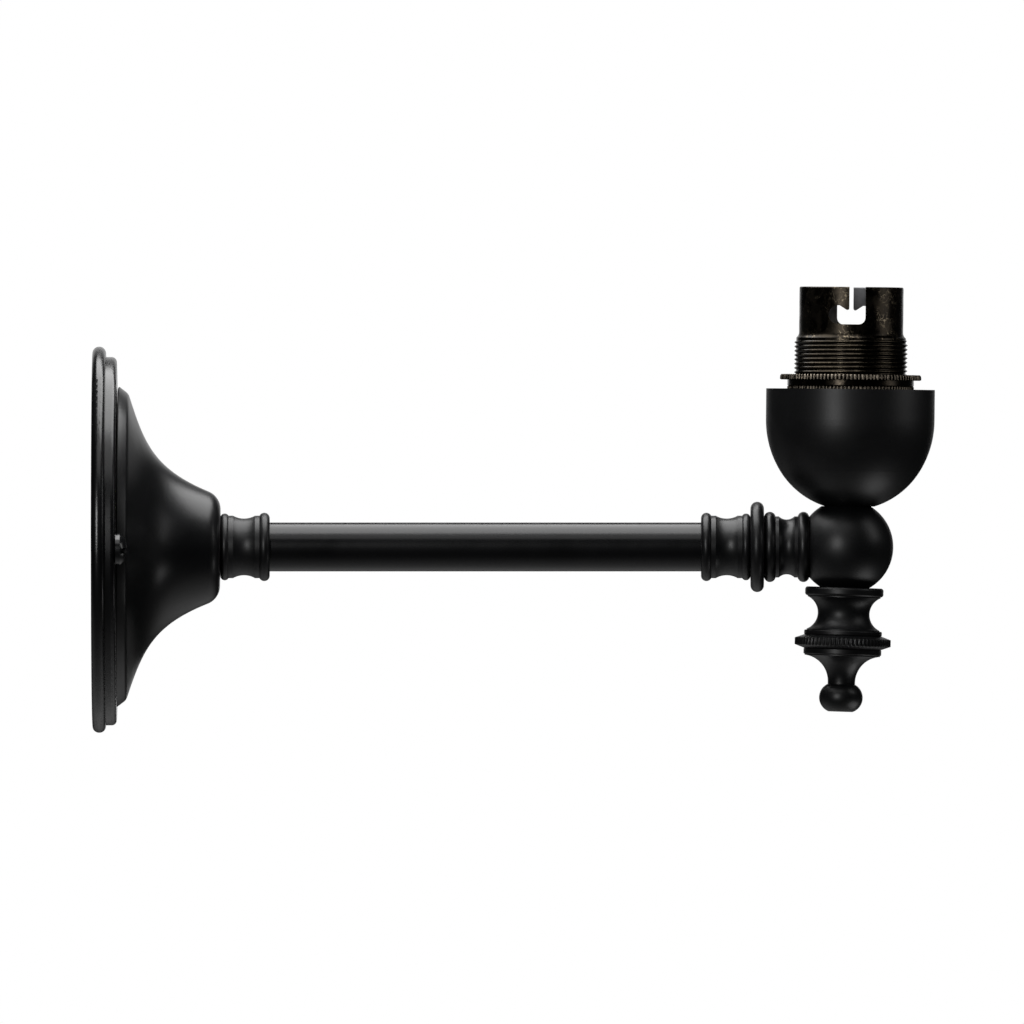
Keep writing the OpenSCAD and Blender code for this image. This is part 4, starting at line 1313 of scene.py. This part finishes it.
@dataclass(frozen=True)
class Softbox:
    """One soft area light that faces the bracket, in degrees, metres and watts."""

    name: str
    turn: float
    rise: float
    distance: float
    width: float
    height: float
    power: float
    aim: Point3 = VIEW_CENTRE

    def build(self) -> None:
        """Hangs the light so that it faces its aim."""
        data = bpy.data.lights.new(self.name, "AREA")
        data.shape = "RECTANGLE"
        data.size = self.width
        data.size_y = self.height
        data.energy = self.power
        lamp = link(self.name, data)
        turn, rise = math.radians(self.turn), math.radians(self.rise)
        way = Vector((math.sin(turn) * math.cos(rise), -math.cos(turn) * math.cos(rise),
                      math.sin(rise)))
        lamp.location = Vector(self.aim) + way * self.distance
        lamp.rotation_euler = way.to_track_quat("Z", "Y").to_euler()
        lamp.visible_camera = False


@dataclass
class Studio:
    """Floor, world, lights and camera, in metres, but the sensor in millimetres."""

    view_width: float = 0.2652
    camera_distance: float = 11.5
    camera_reach: float = 100.0
    sensor: float = 36.0
    floor_z: float = -0.24
    floor_half: float = 3.0
    floor_grey: float = 0.72
    floor_glow: float = 0.56
    # Painted light on the floor as the object sees it: greys from painted shade in front and far
    # right to a painted pool of light behind, and the front-to-back and right-hand stretches where
    # they change.
    painted_light_greys: Point2 = (0.1, 0.8)
    painted_light_depth: Point2 = (-0.25, 0.15)
    painted_light_side: Point2 = (0.2, 0.42)
    painted_light_side_share: float = 0.05
    wall_turn: Point2 = (0.86, 0.99)
    wall_glow: Point2 = (0.012, 0.9)
    boxes: tuple[Softbox, ...] = (
        Softbox("overhead_box", 0.0, 90.0, 0.25, 0.30, 0.33, 1.2, (0.09, 0.055, 0.0)),
        Softbox("edge_box", 0.0, 54.0, 0.35, 0.33, 0.2, 0.17, (0.102, 0.0, 0.0)),
        Softbox("front_box", -19.5, 9.0, 1.6, 0.28, 0.6, 5.6),
        Softbox("right_box", 75.0, 12.0, 0.13, 0.05, 0.11, 0.024, (0.196, 0.0, 0.06)),
        Softbox("low_box", 92.0, -67.4, 0.104, 0.06, 0.04, 0.011, (0.206, -0.005, 0.016)),
    )

    def camera(self) -> None:
        """Sets the camera level with the arm, square to it, from far away."""
        data = bpy.data.cameras.new("camera")
        data.sensor_width = self.sensor
        data.lens = self.sensor * self.camera_distance / self.view_width
        data.clip_end = self.camera_reach
        camera = link("camera", data)
        camera.location = Vector(VIEW_CENTRE) + Vector((0, -self.camera_distance, 0))
        camera.rotation_euler = (math.pi / 2, 0, 0)
        bpy.context.scene.camera = camera

    def floor(self) -> None:
        """Lays a floor under the object, pale to the camera, with painted light and shade in what
        the object sees of it.
        """
        half = self.floor_half
        corners = [(-half, -half), (half, -half), (half, half), (-half, half)]
        data = bpy.data.meshes.new("floor")
        data.from_pydata([(x, y, self.floor_z) for x, y in corners], [], [range(len(corners))])
        data.materials.append(self.floor_material())
        link("floor", data)

    def floor_material(self) -> Material:
        """Makes the floor: pale to the camera. To the object's reflected and bounced rays it shows
        painted light: a bright pool behind and to the left, and painted shade in front and far
        right.

        Returns:
            The material.
        """
        material = bpy.data.materials.new("pale_floor_with_painted_light")
        tree = Tree.fresh(material)
        output = tree.add("ShaderNodeOutputMaterial")
        lit = tree.put(tree.add("ShaderNodeBsdfDiffuse"), Color=grey(self.floor_grey))
        pale = tree.put(tree.add("ShaderNodeEmission"), Color=grey(1.0), Strength=self.floor_glow)
        seen = tree.add("ShaderNodeAddShader")
        spot = tree.add("ShaderNodeSeparateXYZ")
        tree.join(tree.add("ShaderNodeTexCoord").outputs["Object"], spot.inputs[0])
        # Painted shade and light for all but camera rays: the floor is dark in front and far right
        # and light behind, standing in for the light and shade that fall on it.
        depth = tree.spread(spot.outputs["Y"], *self.painted_light_depth)
        side = tree.spread(spot.outputs["X"], *self.painted_light_side, 1.0, self.painted_light_side_share)
        painted_light_share = tree.math("MULTIPLY", depth, side)
        painted_light_colour = tree.mix(painted_light_share, *(grey(level) for level in self.painted_light_greys))
        painted_floor_shader = tree.put(tree.add("ShaderNodeBsdfDiffuse"), Color=painted_light_colour)
        choose = tree.add("ShaderNodeMixShader")
        path = tree.add("ShaderNodeLightPath")
        for source, target in (
                (lit.outputs[0], seen.inputs[0]), (pale.outputs[0], seen.inputs[1]),
                (path.outputs["Is Camera Ray"], choose.inputs[0]),
                (painted_floor_shader.outputs[0], choose.inputs[1]), (seen.outputs[0], choose.inputs[2]),
                (choose.outputs[0], output.inputs["Surface"])):
            tree.join(source, target)
        return material

    def world(self) -> None:
        """Makes the white surround: white to the camera, and a white wall behind the object."""
        world = bpy.data.worlds.new("studio")
        bpy.context.scene.world = world
        tree = Tree.fresh(world)
        output = tree.add("ShaderNodeOutputWorld")
        path = tree.add("ShaderNodeLightPath")
        way = tree.add("ShaderNodeSeparateXYZ")
        tree.join(tree.add("ShaderNodeTexCoord").outputs["Generated"], way.inputs[0])
        back = tree.spread(way.outputs["Y"], *self.wall_turn, *self.wall_glow)
        strength = tree.math("MAXIMUM", path.outputs["Is Camera Ray"], back)
        glow = tree.put(tree.add("ShaderNodeBackground"), Color=grey(1.0), Strength=strength)
        tree.join(glow.outputs[0], output.inputs["Surface"])

    def build(self) -> None:
        """Sets up the whole studio."""
        self.camera()
        self.floor()
        self.world()
        for box in self.boxes:
            box.build()
        bpy.context.scene.view_settings.view_transform = "Standard"
        LOG.info("studio has %d lights", len(self.boxes))


def main() -> None:
    """Builds the classes in order."""
    logging.basicConfig(level=logging.INFO, format="%(message)s")
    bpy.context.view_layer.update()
    layout = Layout()
    finishes = Finishes()
    Solids(finishes).build()
    Rose(layout, finishes).build()
    Lampholder(layout, finishes).build()
    for side in ("left", "right"):
        ContactSpring(side, layout, finishes).build()
    FinialRing(layout, finishes).build()
    Studio().build()


if __name__ == "__main__":
    main()
